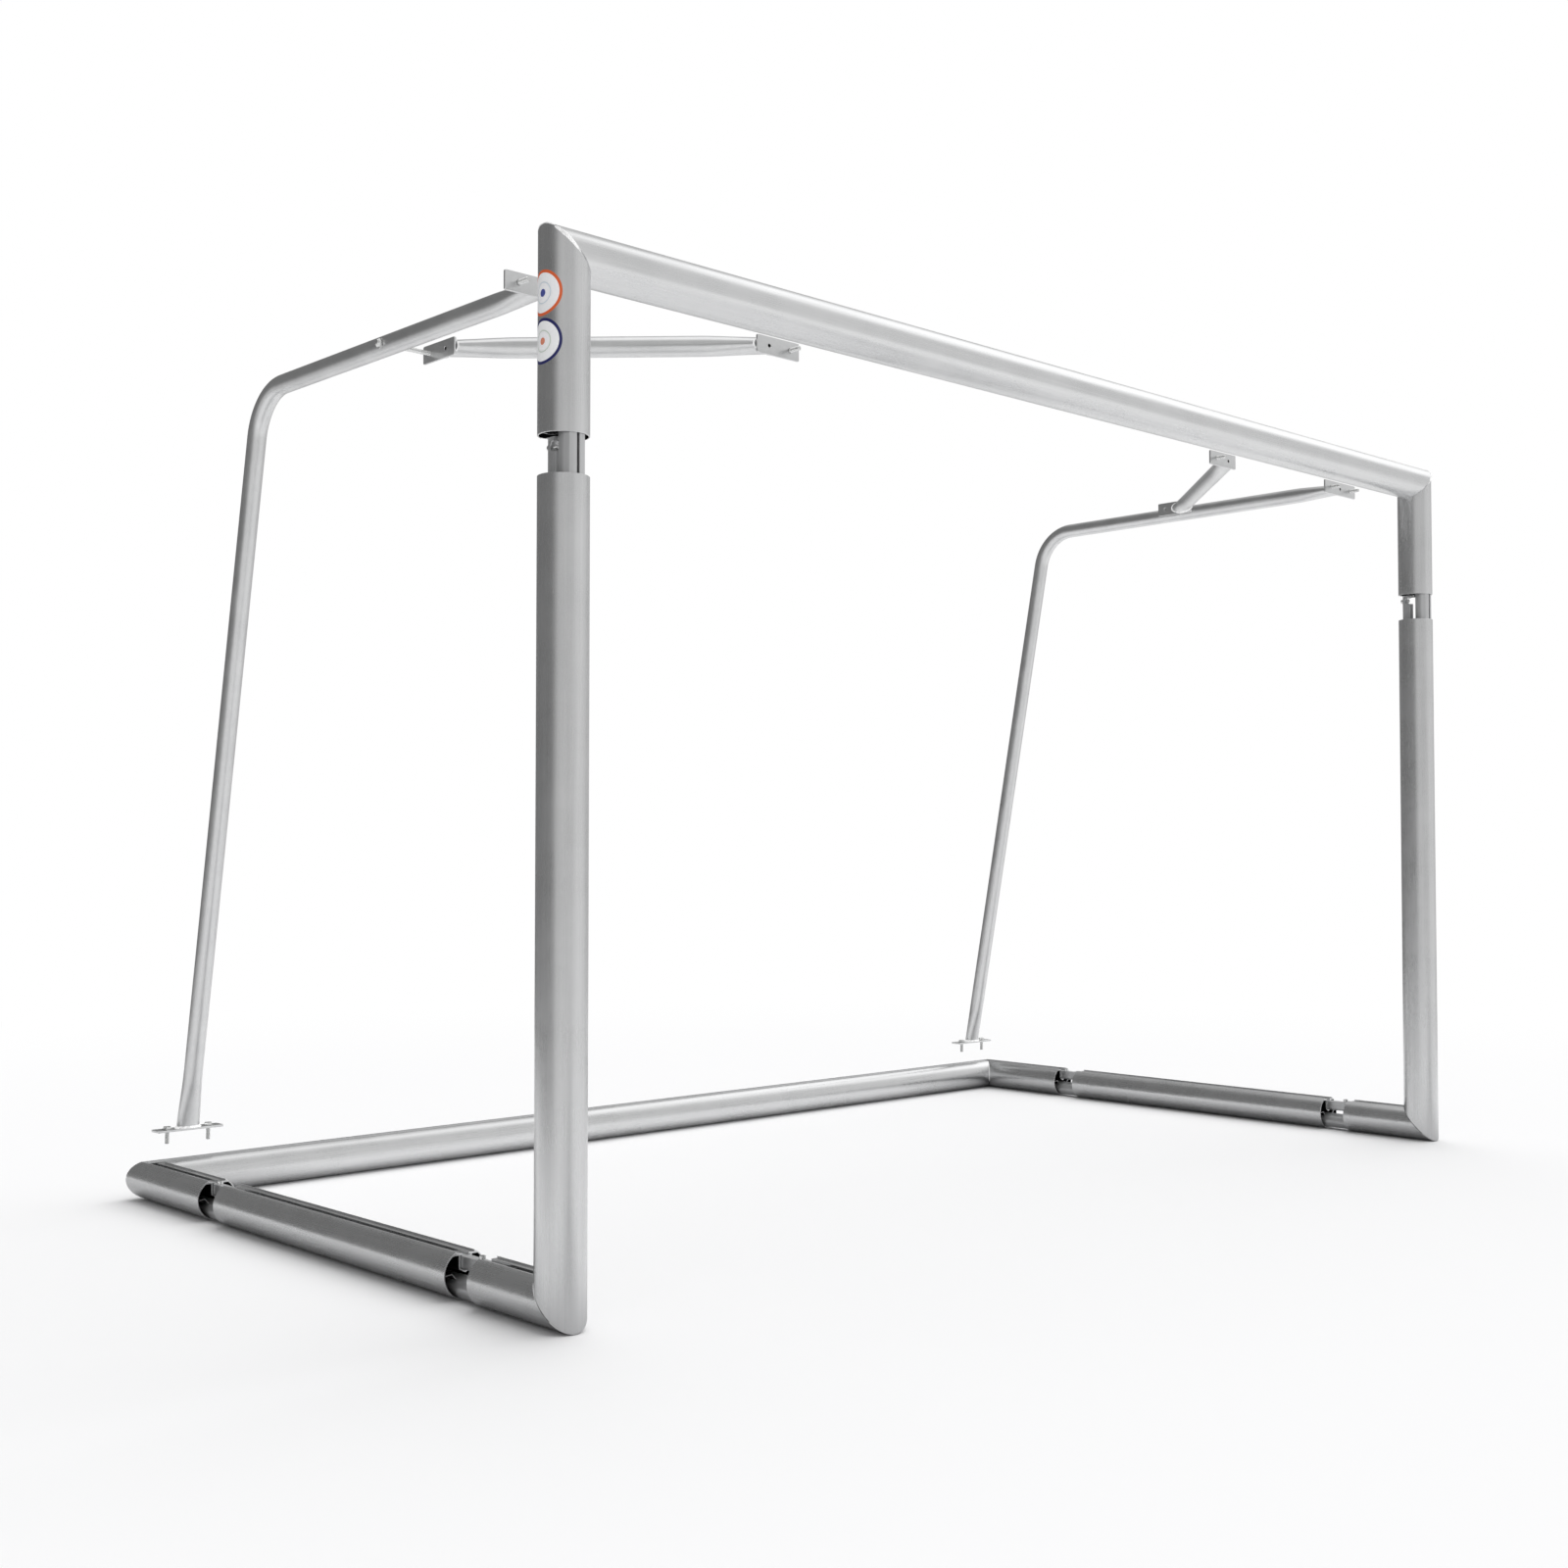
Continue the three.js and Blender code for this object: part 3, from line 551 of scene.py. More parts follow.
def weld_bead(name, frame_, distance, cut, body, start, end, width, height, material=WELD):
    """A rippled bead on the mitre, from one angle round the tube to another, in degrees."""
    steps, around = int(abs(end - start) * 1.6), 8
    points, grain = [], []
    low, high = Vector(CAD_LOW), Vector(CAD_HIGH)
    for i in range(steps + 1):
        angle = math.radians(start + (end - start) * i / steps)
        ripple = 0.5 + 0.5 * math.cos(i * math.pi / 3)
        wobble = math.sin(i * 0.37) * math.sin(i * 0.11 + 1)
        taper = math.sin(math.pi * (0.03 + 0.94 * i / steps)) ** 0.5
        reach = (width + 0.35 * wobble) * taper
        rise = height * (0.6 + 0.4 * ripple) * taper
        u0, w0 = math.cos(angle), math.sin(angle)
        for k in range(around):
            turn = 2 * math.pi * k / around
            radius = TUBE_R - 0.35 + rise * math.sin(turn)
            u, w = u0 * radius, w0 * radius
            t = distance + cut[0] * u + cut[1] * w + reach * math.cos(turn)
            grain.append((u, w, t))
            world = frame_.place((u, w, t))
            for axis in range(3):
                world[axis] = min(max(world[axis], low[axis]), high[axis])
            points.append(world)
    faces = []
    for i in range(steps):
        faces += ring_faces(i * around, (i + 1) * around, around)
    faces.append(tuple(reversed(range(around))))
    faces.append(tuple(range(steps * around, (steps + 1) * around)))
    bead = add_piece(name, points, faces, grain, material, body)


def sticker(name, frame_, height, facing, material, body):
    """A thin round label rolled on to the tube; facing is the angle of its centre."""
    rings, around = 14, 72
    points, grain, faces = [], [], []
    for layer in (0.07, 0.0):
        points.append(frame_.place(round_tube_point(facing, TUBE_R + layer, height)))
        grain.append((0, 0, 0))
        for r in range(1, rings + 1):
            radius = STICKER_R / MM * r / rings
            for k in range(around):
                turn = 2 * math.pi * k / around
                x, y = radius * math.cos(turn), radius * math.sin(turn)
                angle = facing + math.degrees(x / TUBE_R)
                points.append(frame_.place(round_tube_point(angle, TUBE_R + layer, height + y)))
                grain.append((x, y, 0))
    per_layer = 1 + rings * around
    for layer in range(2):
        base = layer * per_layer
        for k in range(around):
            face = (base, base + 1 + k, base + 1 + (k + 1) % around)
            faces.append(face if layer == 0 else face[::-1])
        for r in range(rings - 1):
            a = base + 1 + r * around
            faces += ring_faces(a, a + around, around, layer == 0)
    rim = 1 + (rings - 1) * around
    faces += ring_faces(rim, per_layer + rim, around, True)
    add_piece(name, points, faces, grain, material, body)


def round_tube_point(angle, radius, height):
    turn = math.radians(angle)
    return (radius * math.cos(turn), radius * math.sin(turn), height)


# ---------------------------------------------------------------- joints
CONNECTOR_R = 44
CONNECTOR_SLOT = 2.8


def connector_outline():
    """A slotted block: bowed underside, waisted sides and a shallow roof."""
    mouth = -math.sqrt(CONNECTOR_R**2 - CONNECTOR_SLOT**2)
    half = [(0, -8, 0), (CONNECTOR_SLOT, -8, 0.6), (CONNECTOR_SLOT, mouth, 0.8)]
    half += arc(CONNECTOR_R, math.atan2(mouth, CONNECTOR_SLOT), math.atan2(-40.6, 17), 8)[1:-1]
    half += [(17, -40.6, 3), (25, -29, 6), (26, -21, 4), (19.5, -10, 2), (0, -1.2, 1.5)]
    return rounded(mirrored(half))


CONNECTOR_BEHIND = 80
CONNECTOR_PAST_GAP = 60
CLAMP_BEHIND = 50
CLAMP_PAST_GAP = 45
CLAMP_HALF = 9.7
CLAMP_TOP = 35.2
CLAMP_EDGE = 12.3
KEEL_W = 7
RELIEF_W = 17
RELIEF_R = 9.5


def joint(name, frame_, gap, screw_at, in_base):
    """Connector, clamp and screw; frame_ stands at the tube's open end and t runs over the gap."""
    body = BODY_OF[f"{name}_connector"]
    start = shift(frame_, -CONNECTOR_BEHIND)
    length = CONNECTOR_BEHIND + gap + CONNECTOR_PAST_GAP
    prism(f"{name}_connector_block", connector_outline(), [], start.place, length,
          CAST, body, [f"{name}_connector"], chamfer=1.0)
    clamp_length = CLAMP_BEHIND + gap + CLAMP_PAST_GAP
    clamp(name, frame_, clamp_length, CLAMP_BEHIND + screw_at, in_base, body)
    socket_screw(name, frame_, screw_at, body, 13 if in_base else 18)


def clamp(name, frame_, length, screw_at, in_base, body):
    """Bar with a keel that follows the chamber's V floor; in the posts it is relieved."""
    start = shift(frame_, -CLAMP_BEHIND)

    def place(point):
        t, w, u = point
        return start.place((u - CLAMP_HALF, w, t))

    bottom = CLAMP_EDGE if in_base else RELIEF_W
    relief = []
    if not in_base:
        for across, out, _ in arc(RELIEF_R, math.pi, 0, 12):
            relief.append((screw_at + across, RELIEF_W + out, 0))
    outline = rounded([(0, bottom, 1)] + relief
                      + [(length, bottom, 1), (length, CLAMP_TOP, 1), (0, CLAMP_TOP, 1)])
    prism(f"{name}_clamp_block", outline, [], place, 2 * CLAMP_HALF, CAST, body,
          [f"{name}_clamp"], chamfer=0.8)
    keel_top = bottom + 0.1
    keel = rounded([(-CLAMP_HALF, keel_top, 0), (-CLAMP_HALF, CLAMP_EDGE, 1), (0, KEEL_W, 2),
                    (CLAMP_HALF, CLAMP_EDGE, 1), (CLAMP_HALF, keel_top, 0)])
    keel_from = CLAMP_BEHIND if in_base else screw_at + RELIEF_R
    keel_piece = prism(f"{name}_clamp_keel", keel, [], shift(start, keel_from).place,
                       length - keel_from - 1, CAST, body, chamfer=0.8)


def hexagon_radius(angle, across_flats):
    step = math.pi / 3
    local = (angle % step) - step / 2
    return across_flats / 2 / math.cos(local)


def turned(name, profile, place, material, body, nodes=(), segments=48):
    """Revolves (radius, height, flats) rings; flats above 0 clip the ring to a hexagon."""
    points, grain = [], []
    for radius, height, flats in profile:
        for k in range(segments):
            angle = 2 * math.pi * k / segments
            r = min(radius, hexagon_radius(angle, flats)) if flats else radius
            local = (r * math.cos(angle), r * math.sin(angle), height)
            grain.append(local)
            points.append(place(local))
    faces = []
    for i in range(len(profile) - 1):
        faces += ring_faces(i * segments, (i + 1) * segments, segments)
    last = (len(profile) - 1) * segments
    faces.append(tuple(reversed(range(segments))))
    faces.append(tuple(range(last, last + segments)))
    return add_piece(name, points, faces, grain, material, body, nodes)


def threads(radius, start, end, pitch, depth):
    """Rings of a threaded length from start to end (either direction)."""
    count = max(1, int(abs(end - start) / pitch))
    step = (end - start) / count
    rings = []
    for i in range(count):
        rings.append((radius - depth, start + step * (i + 0.15), 0))
        rings.append((radius, start + step * (i + 0.5), 0))
        rings.append((radius - depth, start + step * (i + 0.85), 0))
    return rings


SOCKET_FLATS = 6.6


def socket_screw(name, frame_, screw_at, body, tip):
    """M8 socket screw with its head on the groove's lips; tip is where its point ends."""
    top = 43.3
    seat = LIP_W
    profile = [(2.9, tip, 0), (3.7, tip + 0.8, 0)]
    profile += threads(4.0, tip + 0.8, seat - 0.1, 1.25, 0.45)
    profile += [
        (4.0, seat, 0), (6.2, seat, 0), (6.5, seat + 0.3, 0), (6.5, top - 0.7, 0),
        (6.3, top - 0.2, 0), (5.9, top, 0), (3.75, top, 0), (3.6, top - 0.15, SOCKET_FLATS),
        (3.6, top - 4, SOCKET_FLATS), (1.5, top - 4.6, 0),
    ]

    def place(point):
        a, b, w = point
        return frame_.place((a, w, screw_at - b))

    turned(f"{name}_socket_screw", profile, place, BRIGHT, body, [f"{name}_clamp_screw"])


# ---------------------------------------------------------------- plates and bolts
def circle(x, radius, steps=28):
    return [
        (x + radius * math.cos(2 * math.pi * i / steps), radius * math.sin(2 * math.pi * i / steps))
        for i in range(steps)
    ]


def plate(node, low, high, holes, frame_, start=0):
    """A flat bar with rounded corners; x runs across, thickness runs along t."""
    half = PLATE_H / 2
    outline = rounded([(low, -half, 4), (high, -half, 4), (high, half, 4), (low, half, 4)], 5)
    prism(f"{node}_bar", outline, [circle(x, r) for x, r in holes],
          shift(frame_, start).place, PLATE_T, GALVANISED, BODY_OF[node], [node], chamfer=0.6)


HEX_FLATS = 16.9


def hex_bolt(node, frame_, shank, head=6.4, cap=False):
    """M10 flanged bolt: shank along -t, underside of the head at t = 0, domed if cap."""
    profile = [(3.9, -shank, 0), (4.7, -shank + 0.9, 0)]
    plain = -shank + min(shank - 6, 26)
    profile += threads(5.0, -shank + 0.9, plain, 1.5, 0.55)
    profile += [(5.0, plain + 0.5, 0), (5.0, 0.0, 0)]
    profile += [(11.6, 0.0, 0), (12.0, 0.3, 0), (11.9, 0.9, 0), (10.2, 1.9, 0)]
    profile.append((9.8, 2.0, HEX_FLATS))
    if cap:
        profile += [(9.8, head * 0.5, HEX_FLATS), (9.0, head * 0.56, HEX_FLATS),
                    (8.1, head * 0.6, 0)]
        for i in range(1, 7):
            angle = math.pi / 2 * i / 7
            profile.append((7.6 * math.cos(angle), head * (0.6 + 0.4 * math.sin(angle)), 0))
        profile.append((0.6, head, 0))
    else:
        profile += [(9.8, head - 1.3, HEX_FLATS), (9.2, head - 0.75, HEX_FLATS),
                    (8.5, head - 0.25, HEX_FLATS), (7.8, head, 0), (5.6, head, 0),
                    (5.3, head - 0.25, 0), (0.5, head - 0.25, 0)]
    turned(f"{node}_hex", profile, frame_.place, BRIGHT, BODY_OF[node], [node])


# ---------------------------------------------------------------- round steel tubes
SQUASH_LENGTH = 150
STAY_SQUASH = 0.3
BRACE_SQUASH = 0.22
SLANT_LENGTH = 40
NEAR_END = [i * 10 for i in range(16)]


def squash_at(distance):
    """1 at the very end of a tube, easing to 0 where it is round again."""
    t = min(max(1 - distance / SQUASH_LENGTH, 0), 1)
    return t * t * (3 - 2 * t)


def round_tube(node, stations):
    """Lofts a hollow steel tube through (point, side, normal, wide, flat, shear, side_shear, s)."""
    around = 64
    points, grain, faces = [], [], []
    for radius in (STAY_R, STAY_R - STAY_WALL):
        for point, side, normal, wide, flat, shear, side_shear, s in stations:
            along = side.cross(normal)
            for k in range(around):
                angle = 2 * math.pi * k / around
                a = radius * math.cos(angle) * wide
                b = radius * math.sin(angle) * flat
                world = point + side * a + normal * b + along * (shear * b + side_shear * a)
                points.append(world * MM)
                grain.append((a, b, s))
    rings = len(stations)
    for i in range(rings - 1):
        inner = (rings + i) * around
        faces += ring_faces(inner, inner + around, around, True)
    inside = (PAINTED_SHADE_INSIDE, 0, len(faces))
    for i in range(rings - 1):
        faces += ring_faces(i * around, (i + 1) * around, around)
    faces += ring_faces(rings * around, 0, around)
    faces += ring_faces((rings - 1) * around, (2 * rings - 1) * around, around)
    add_piece(f"{node}_round", points, faces, grain, GALVANISED, BODY_OF[node], [node], inside)


def stay_stations(x):
    """Leaning leg from the foot plate, a bend, then a level arm to the bracket."""
    foot_z = FOOT_Z + PLATE_T + FIT_GAP
    arm_end = BRACKET_Y + PLATE_T + FIT_GAP
    turn = math.pi / 2 - LEAN
    tangent = BEND_R * math.tan(turn / 2)
    leg_run = (CROSSBAR_Z - foot_z) / math.cos(LEAN)
    leg = leg_run - tangent
    up = Vector((0, -math.sin(LEAN), math.cos(LEAN)))
    foot = Vector((x, REAR_Y, foot_z))
    bend_start = foot + up * leg
    arm_start = foot.y + leg_run * up.y - tangent
    arm = arm_start - arm_end
    bend = BEND_R * turn
    stations = []

    def add(point, angle, s, squash=0.0, shear=0.0):
        direction = Vector((0, -math.sin(angle), math.cos(angle)))
        squash *= STAY_SQUASH
        stations.append((point, X, direction.cross(X), 1 + squash, 1 - squash, shear, 0.0, s))

    for s in NEAR_END + [leg / 3, 2 * leg / 3, leg]:
        add(foot + up * s, LEAN, s, squash_at(s), -math.tan(LEAN) if s == 0 else 0)
    outward = Vector((0, -math.cos(LEAN), -math.sin(LEAN)))
    centre = bend_start + outward * BEND_R
    steps = 28
    for i in range(1, steps + 1):
        angle = LEAN + turn * i / steps
        offset = Vector((0, math.cos(angle), math.sin(angle))) * BEND_R
        add(centre + offset, angle, leg + bend * i / steps)
    for s in [arm * 2 / 3, arm / 3] + NEAR_END[::-1]:
        add(Vector((x, arm_end + s, CROSSBAR_Z)), math.pi / 2, leg + bend + arm - s, squash_at(s))
    return stations


def brace_stations(sign):
    """A straight 45 degree run whose ends slant to lie flat on their plates."""
    start = Vector((sign * (BRACE_STAY_X - PLATE_T - FIT_GAP), 0, CROSSBAR_Z))
    start.y = BRACE_VENT_Y - PLATE_T / 2 - FIT_GAP
    end_y = BRACKET_Y + PLATE_T + FIT_GAP
    length = (start.y - end_y) * math.sqrt(2)
    direction = Vector((-sign, -1, 0)).normalized()
    side = Z.cross(direction)
    distances = NEAR_END + [length / 2] + [length - s for s in NEAR_END[::-1]]
    stations = []
    for s in distances:
        left = length - s
        squash = BRACE_SQUASH * squash_at(min(s, left))
        slant = sign * (max(0, 1 - s / SLANT_LENGTH) - max(0, 1 - left / SLANT_LENGTH))
        stations.append((start + direction * s, side, Z, 1 + squash, 1 - squash, 0.0, slant, s))
    return stations


def end_weld(name, station, out_of_plate, body, size):
    """A rippled fillet round a tube end, lying on the plate that the tube stands on."""
    point, side, normal, wide, flat, shear, side_shear, _ = station
    along = side.cross(normal)
    around = 108
    points, grain, faces = [], [], []
    for i in range(around):
        angle = 2 * math.pi * i / around
        a = STAY_R * math.cos(angle) * wide
        b = STAY_R * math.sin(angle) * flat
        base = point + side * a + normal * b + along * (shear * b + side_shear * a)
        outward = base - point
        outward = (outward - out_of_plate * outward.dot(out_of_plate)).normalized()
        leg = size * (0.88 + 0.12 * math.cos(i * 2 * math.pi / 3) + 0.08 * math.sin(i * 0.7))
        ring = [(leg, -0.3), (leg * 0.9, 0.35), (leg * 0.45, leg * 0.5), (0.3, leg * 0.95),
                (-0.4, leg), (-0.6, -0.3)]
        for out, rise in ring:
            world = base + outward * out + out_of_plate * rise
            points.append(world * MM)
            grain.append((a + out, b, rise))
    for i in range(around):
        faces += ring_faces(i * 6, ((i + 1) % around) * 6, 6)
    fillet = add_piece(name, points, faces, grain, WELD, body)


# ---------------------------------------------------------------- build: tubes and joints
GROOVE_EDGE = 68  # degrees round the tube from +u to the mouth of the groove
for side, sign in (("left", -1), ("right", 1)):
    x = sign * POST_X
    post = Frame((x, 0, TUBE_R), Z, Y)
    tube(f"{side}_lower_post", post, POST_TOP - TUBE_R, start_cut=(0, 1))
    top_stub = Frame((x, 0, CROSSBAR_Z - TOP_STUB), Z, Y)
    tube(f"{side}_top_stub", top_stub, TOP_STUB, end_cut=(sign, 0))
    front_stub = Frame((x, 0, TUBE_R), Y, Z)
    tube(f"{side}_front_stub", front_stub, FRONT_STUB, start_cut=(0, 1))
    tube(f"{side}_base_rail", Frame((x, RAIL_START, TUBE_R), Y, Z), RAIL_END - RAIL_START)
    rear_stub = Frame((x, REAR_Y - REAR_STUB, TUBE_R), Y, Z)
    tube(f"{side}_rear_stub", rear_stub, REAR_STUB, end_cut=(-sign, 0))
    outer, inner = (-148, -88) if sign < 0 else (-32, -92)
    # The top welds take the weld finish, whose glow is a painted highlight.
    weld_bead(f"{side}_top_weld_outer", top_stub, TOP_STUB - 3, (sign, 0), "top_unit",
              outer, inner, 5.0, 3.0)
    weld_bead(f"{side}_top_weld_tip", top_stub, TOP_STUB, (sign, 0), "top_unit",
              180 - GROOVE_EDGE if sign < 0 else GROOVE_EDGE,
              -148 + 360 if sign < 0 else -32, 1.8, 0.8)
    weld_bead(f"{side}_foot_weld", post, 0, (0, 1), f"{side}_front_unit",
              -215, -150, 1.7, 0.5, SEAM)
    weld_bead(f"{side}_foot_weld_inner", post, 0, (0, 1), f"{side}_front_unit",
              -30, 35, 1.7, 0.5, SEAM)
    weld_bead(f"{side}_rear_weld", rear_stub, REAR_STUB, (-sign, 0), "rear_unit",
              -238 if sign < 0 else 58, -150 if sign < 0 else -30, 1.4, 0.6)
    joint(f"{side}_post", Frame((x, 0, CROSSBAR_Z - TOP_STUB), -Z, Y), POST_GAP, 15, False)
    joint(f"{side}_front", Frame((x, FRONT_STUB, TUBE_R), Y, Z), BASE_GAP, 18, True)
    joint(f"{side}_rear", Frame((x, REAR_Y - REAR_STUB, TUBE_R), -Y, Z), BASE_GAP, 15, True)

upper = Frame((-POST_X, 0, 0), Z, Y)
OUTER_SIDE = 180  # degrees round the left post, facing away from the goal
sticker("orange_sticker", upper, 1842, OUTER_SIDE, ORANGE_STICKER, "top_unit")
sticker("navy_sticker", upper, 1755, OUTER_SIDE, NAVY_STICKER, "top_unit")

tube("crossbar", Frame((-POST_X, 0, CROSSBAR_Z), X, Y), 2 * POST_X, (1, 0), (-1, 0))
tube("rear_bar", Frame((-POST_X, REAR_Y, TUBE_R), X, Z), 2 * POST_X, (-1, 0), (1, 0))

# ---------------------------------------------------------------- build: stays and braces
HOLE = 5.3
VENT = 4
HOLE_AT = 53
BAR_HALF = 85
BRACE_BAR_SHORT = 35
BRACE_BAR_LONG = 87
for side, sign in (("left", -1), ("right", 1)):
    x = sign * STAY_X
    stay = stay_stations(x)
    brace = brace_stations(sign)
    round_tube(f"{side}_stay_tube", stay)
    round_tube(f"{side}_brace_tube", brace)
    end_weld(f"{side}_foot_weld_ring", stay[0], Z, f"{side}_stay", 5.5)
    end_weld(f"{side}_bracket_weld_ring", stay[-1], Y, f"{side}_stay", 4.0)
    end_weld(f"{side}_brace_weld_ring", brace[0], X * -sign, f"{side}_brace", 3.5)
    end_weld(f"{side}_brace_bar_weld_ring", brace[-1], Y, f"{side}_brace", 3.5)
    stay_holes = [(-HOLE_AT, HOLE), (0, VENT), (HOLE_AT, HOLE)]
    foot = Frame((x, REAR_Y, FOOT_Z), Z, Y)
    bracket = Frame((x, BRACKET_Y, CROSSBAR_Z), Y, Z)
    plate(f"{side}_foot_plate", -BAR_HALF, BAR_HALF, stay_holes, foot)
    plate(f"{side}_top_bracket", -BAR_HALF, BAR_HALF, stay_holes, bracket)
    for place_name, offset in (("outer", HOLE_AT), ("inner", -HOLE_AT)):
        bolt_x = x + sign * offset
        gap = PLATE_T + FIT_GAP
        hex_bolt(f"{side}_foot_{place_name}_bolt",
                 Frame((bolt_x, REAR_Y, FOOT_Z + gap), Z, Y), gap + BOLT_REACH)
        hex_bolt(f"{side}_bracket_{place_name}_bolt",
                 Frame((bolt_x, BRACKET_Y + gap, CROSSBAR_Z), Y, Z), gap + BOLT_REACH)
    outwards = X * sign
    low, high = -BRACE_BAR_SHORT, BRACE_BAR_LONG
    if sign < 0:
        low, high = -high, -low
    brace_holes = [(0, VENT), (sign * BRACE_BOLT, HOLE)]
    plate(f"{side}_brace_stay_plate", low, high, brace_holes,
          Frame((sign * BRACE_STAY_X, BRACE_VENT_Y, CROSSBAR_Z), outwards, Z), -PLATE_T)
    plate(f"{side}_brace_bar_plate", low, high, brace_holes,
          Frame((sign * BRACE_VENT_X, BRACKET_Y, CROSSBAR_Z), Y, Z))
    hex_bolt(f"{side}_brace_bar_bolt",
             Frame((sign * (BRACE_VENT_X - BRACE_BOLT), BRACKET_Y + gap, CROSSBAR_Z), Y, Z),
             gap + BOLT_REACH)
    head_x = STAY_X + STAY_R + FIT_GAP
    hex_bolt(f"{side}_brace_stay_bolt",
             Frame((sign * head_x, BRACE_VENT_Y + BRACE_BOLT, CROSSBAR_Z), outwards, Z),
             head_x - BRACE_STAY_X + PLATE_T / 2, head=11, cap=True)

for side in ("left", "right"):
    for nut in ("bracket_slot_nut", "foot_slot_nut", "brace_slot_nut"):
        nut_object = frame["nodes"][f"{side}_{nut}"]
        nut_object.data.materials.clear()
        nut_object.data.materials.append(GALVANISED)

# ---------------------------------------------------------------- floor
floor_mesh = bpy.data.meshes.new("floor")
FLOOR_HALF = 60
floor_mesh.from_pydata(
    [(-FLOOR_HALF, -FLOOR_HALF, 0), (FLOOR_HALF, -FLOOR_HALF, 0),
     (FLOOR_HALF, FLOOR_HALF, 0), (-FLOOR_HALF, FLOOR_HALF, 0)],
    [], [(0, 1, 2, 3)],
)
floor = bpy.data.objects.new("floor", floor_mesh)
floor.location = (0, 0, -0.0008)
bpy.context.collection.objects.link(floor)

floor_material = bpy.data.materials.new("floor")
floor_material.use_nodes = True
floor_tree = floor_material.node_tree
floor_tree.nodes.clear()
floor_links = floor_tree.links


def floor_node(kind, **values):
    node = floor_tree.nodes.new(kind)
    for name, value in values.items():
        node.inputs[name].default_value = value
    return node


def floor_fade(start, end):
    """0 near the goal to 1 far out, by distance from its middle."""
    place = floor_node("ShaderNodeTexCoord").outputs["Object"]
    middle = floor_node("ShaderNodeVectorMath")
    middle.operation = "DISTANCE"
    middle.inputs[1].default_value = (0, 0.8, 0)
    floor_links.new(place, middle.inputs[0])
    fade = floor_node("ShaderNodeMapRange", **{"From Min": start, "From Max": end})
    fade.interpolation_type = "SMOOTHSTEP"
    floor_links.new(middle.outputs["Value"], fade.inputs["Value"])
    return fade.outputs["Result"]


def floor_mix(factor, first, second):
    node = floor_node("ShaderNodeMixShader")
    floor_links.new(factor, node.inputs["Fac"])
    floor_links.new(first, node.inputs[1])
    floor_links.new(second, node.inputs[2])
    return node.outputs["Shader"]


SHADE_X = 1.57  # metres from the middle to the strips of painted shade under the base sides, seen only in reflections
pale = floor_node("ShaderNodeBsdfDiffuse", Color=(0.87, 0.87, 0.875, 1)).outputs["BSDF"]
split = floor_node("ShaderNodeSeparateXYZ")
floor_links.new(floor_node("ShaderNodeTexCoord").outputs["Object"], split.inputs["Vector"])
from_middle = add_math(floor_tree, "ABSOLUTE", split.outputs["X"], 0)
beside = add_math(floor_tree, "SUBTRACT", from_middle, SHADE_X)
beside = add_math(floor_tree, "ABSOLUTE", beside, 0)
# Painted shade: the floor colour that reflections see drops to 0.5 in strips under the base sides
# and is 0.8 elsewhere; the camera sees the plain pale floor.
shade = color_between(floor_tree, spread(floor_tree, beside, 0.0, 1.0, 0.05, 0.5),
                      (0.5, 0.5, 0.505), (0.8, 0.8, 0.805))
painted_shade_floor = floor_node("ShaderNodeBsdfDiffuse")
floor_links.new(shade, painted_shade_floor.inputs["Color"])
dim = painted_shade_floor.outputs["BSDF"]
glow = floor_node("ShaderNodeEmission", Color=(1, 1, 1, 1)).outputs["Emission"]
clear = floor_node("ShaderNodeBsdfTransparent").outputs["BSDF"]
seen = floor_node("ShaderNodeLightPath").outputs["Is Camera Ray"]
seen_floor = floor_mix(floor_fade(2.2, 5.5), pale, glow)
lit_floor = floor_mix(floor_fade(3.0, 5.0), dim, clear)
floor_out = floor_node("ShaderNodeOutputMaterial")
floor_links.new(floor_mix(seen, lit_floor, seen_floor), floor_out.inputs["Surface"])
floor_mesh.materials.append(floor_material)

# ---------------------------------------------------------------- light
world = bpy.data.worlds.new("studio")
bpy.context.scene.world = world
world.use_nodes = True
sky = world.node_tree
sky.nodes.clear()
sky_direction = sky.nodes.new("ShaderNodeTexCoord").outputs["Generated"]


def compass(azimuth, elevation):
    """Direction from degrees: azimuth 0 is +X and 90 is +Y."""
    a, e = math.radians(azimuth), math.radians(elevation)
    return Vector((math.cos(e) * math.cos(a), math.cos(e) * math.sin(a), math.sin(e)))


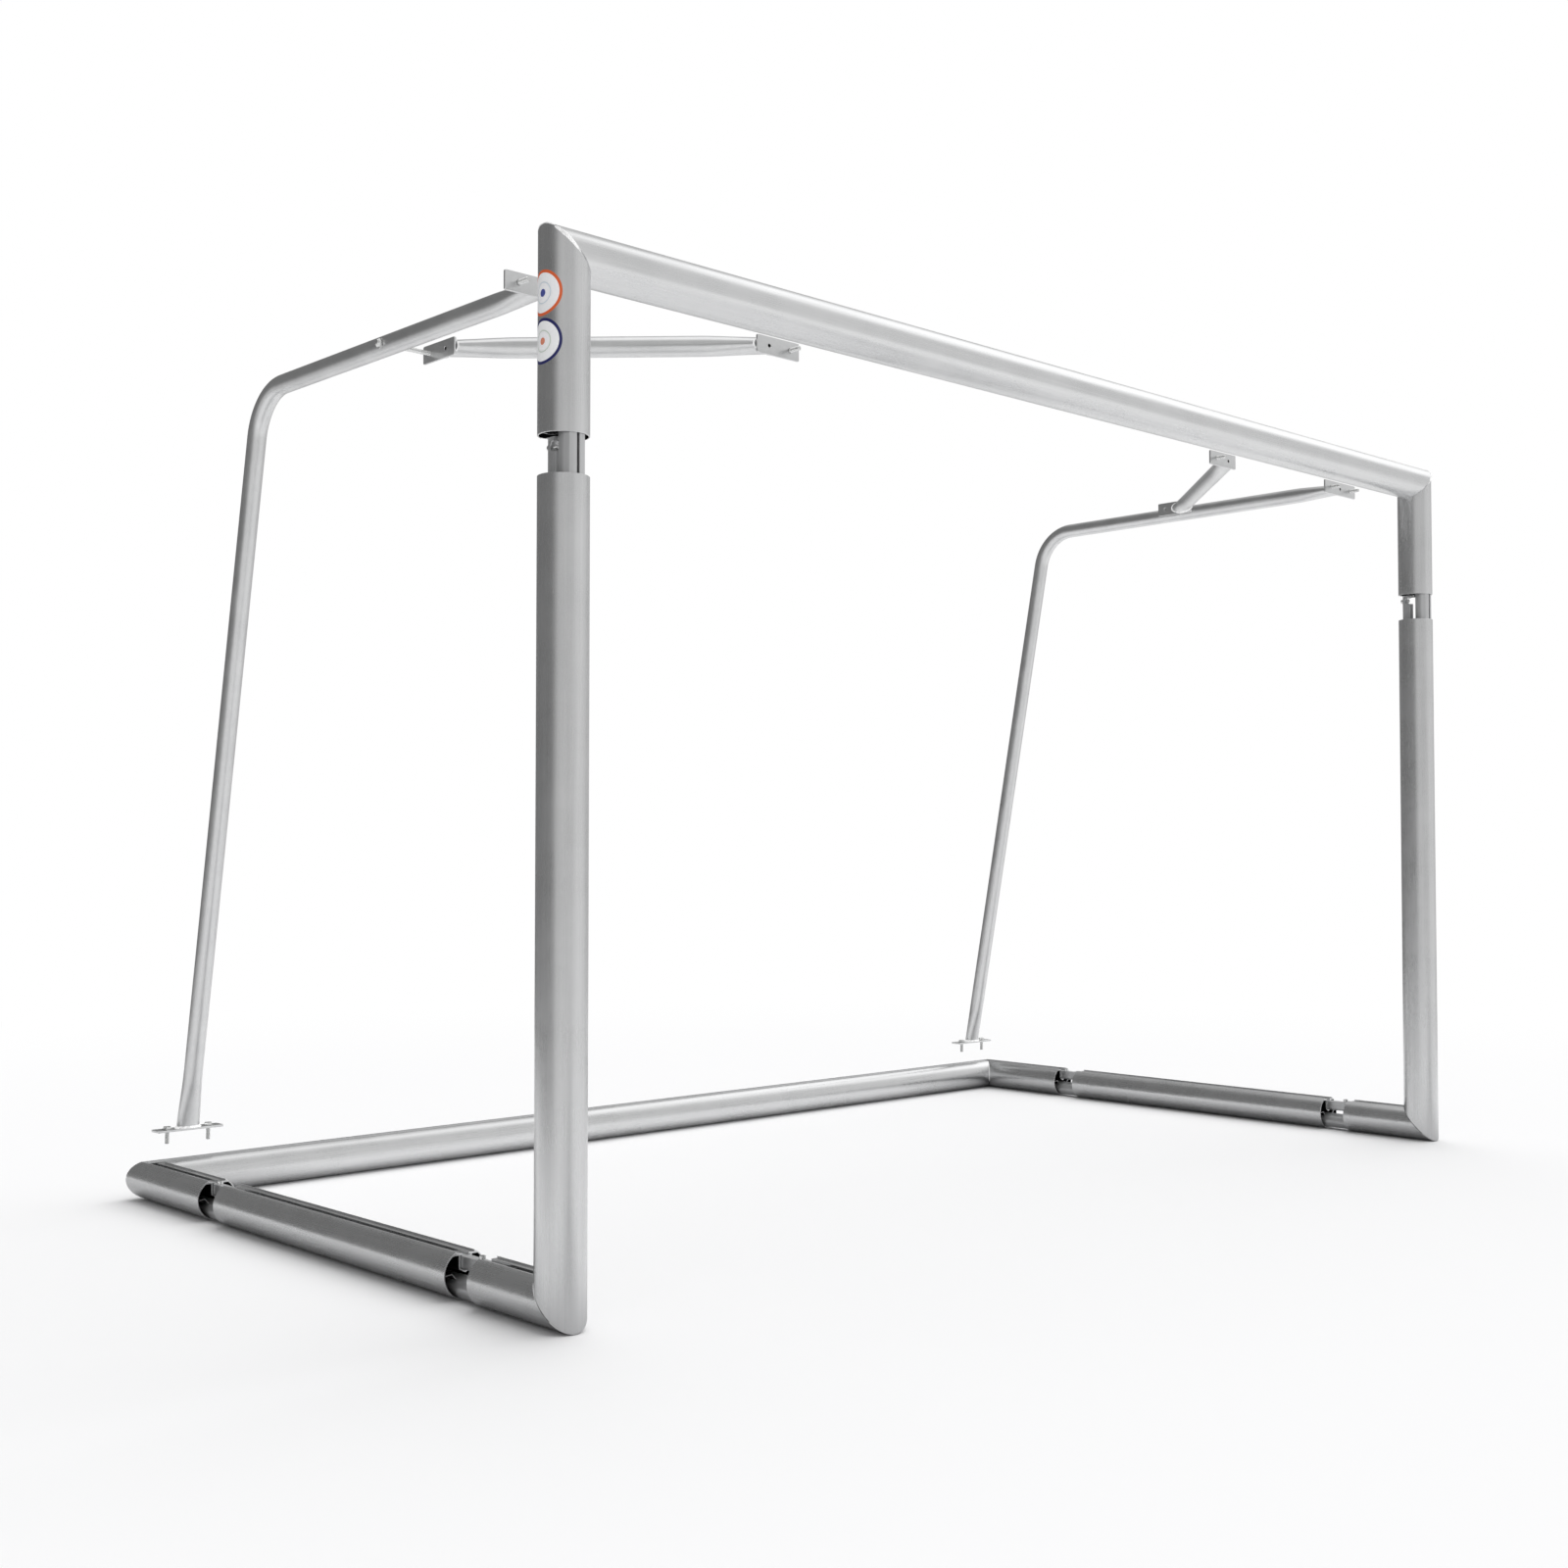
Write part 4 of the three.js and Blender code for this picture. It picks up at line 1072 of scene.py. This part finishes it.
def panel(direction, from_degrees, to_degrees, strength):
    """Soft light round a direction: full inside to_degrees, none outside from_degrees."""
    side = sky.nodes.new("ShaderNodeVectorMath")
    side.operation = "DOT_PRODUCT"
    side.inputs[1].default_value = direction
    sky.links.new(sky_direction, side.inputs[0])
    ramp = sky.nodes.new("ShaderNodeMapRange")
    ramp.interpolation_type = "SMOOTHSTEP"
    ramp.inputs["From Min"].default_value = math.cos(math.radians(from_degrees))
    ramp.inputs["From Max"].default_value = math.cos(math.radians(to_degrees))
    ramp.inputs["To Max"].default_value = strength
    sky.links.new(side.outputs["Value"], ramp.inputs["Value"])
    return ramp.outputs["Result"]


PANELS = (  # azimuth, elevation, outer and inner degrees, strength
    (-52, 0, 124, 90, 0.46),  # wide front half of the room
    (-45, 12, 45, 14, 0.2),  # softer patch in front
    (-2, 40, 24, 10, 1.1),  # high panel at the right
    (0, 90, 34, 18, 0.8),  # ceiling
    (0, -90, 87, 72, 0.45),  # bounce from the ground
)
total = 0.23
for azimuth, elevation, outer, inner, strength in PANELS:
    patch = panel(compass(azimuth, elevation), outer, inner, strength)
    total = add_math(sky, "ADD", total, patch)
sky_light = sky.nodes.new("ShaderNodeBackground")
sky.links.new(total, sky_light.inputs["Strength"])
sky_white = sky.nodes.new("ShaderNodeBackground")
sky_white.inputs["Color"].default_value = (1, 1, 1, 1)
sky_white.inputs["Strength"].default_value = 1.0
sky_path = sky.nodes.new("ShaderNodeLightPath")
sky_mix = sky.nodes.new("ShaderNodeMixShader")
sky_out = sky.nodes.new("ShaderNodeOutputWorld")
for source, target in (
    (sky_path.outputs["Is Camera Ray"], sky_mix.inputs["Fac"]),
    (sky_light.outputs["Background"], sky_mix.inputs[1]),
    (sky_white.outputs["Background"], sky_mix.inputs[2]),
    (sky_mix.outputs["Shader"], sky_out.inputs["Surface"]),
):
    sky.links.new(source, target)

overhead = bpy.data.lights.new("floor_light", "SUN")
overhead.energy = 1.75
overhead.angle = math.radians(70)
lamp = bpy.data.objects.new("floor_light", overhead)
lamp.rotation_mode = "QUATERNION"
lamp.rotation_quaternion = (-compass(10, 62)).to_track_quat("-Z", "Y")
lamp.visible_glossy = False
bpy.context.collection.objects.link(lamp)
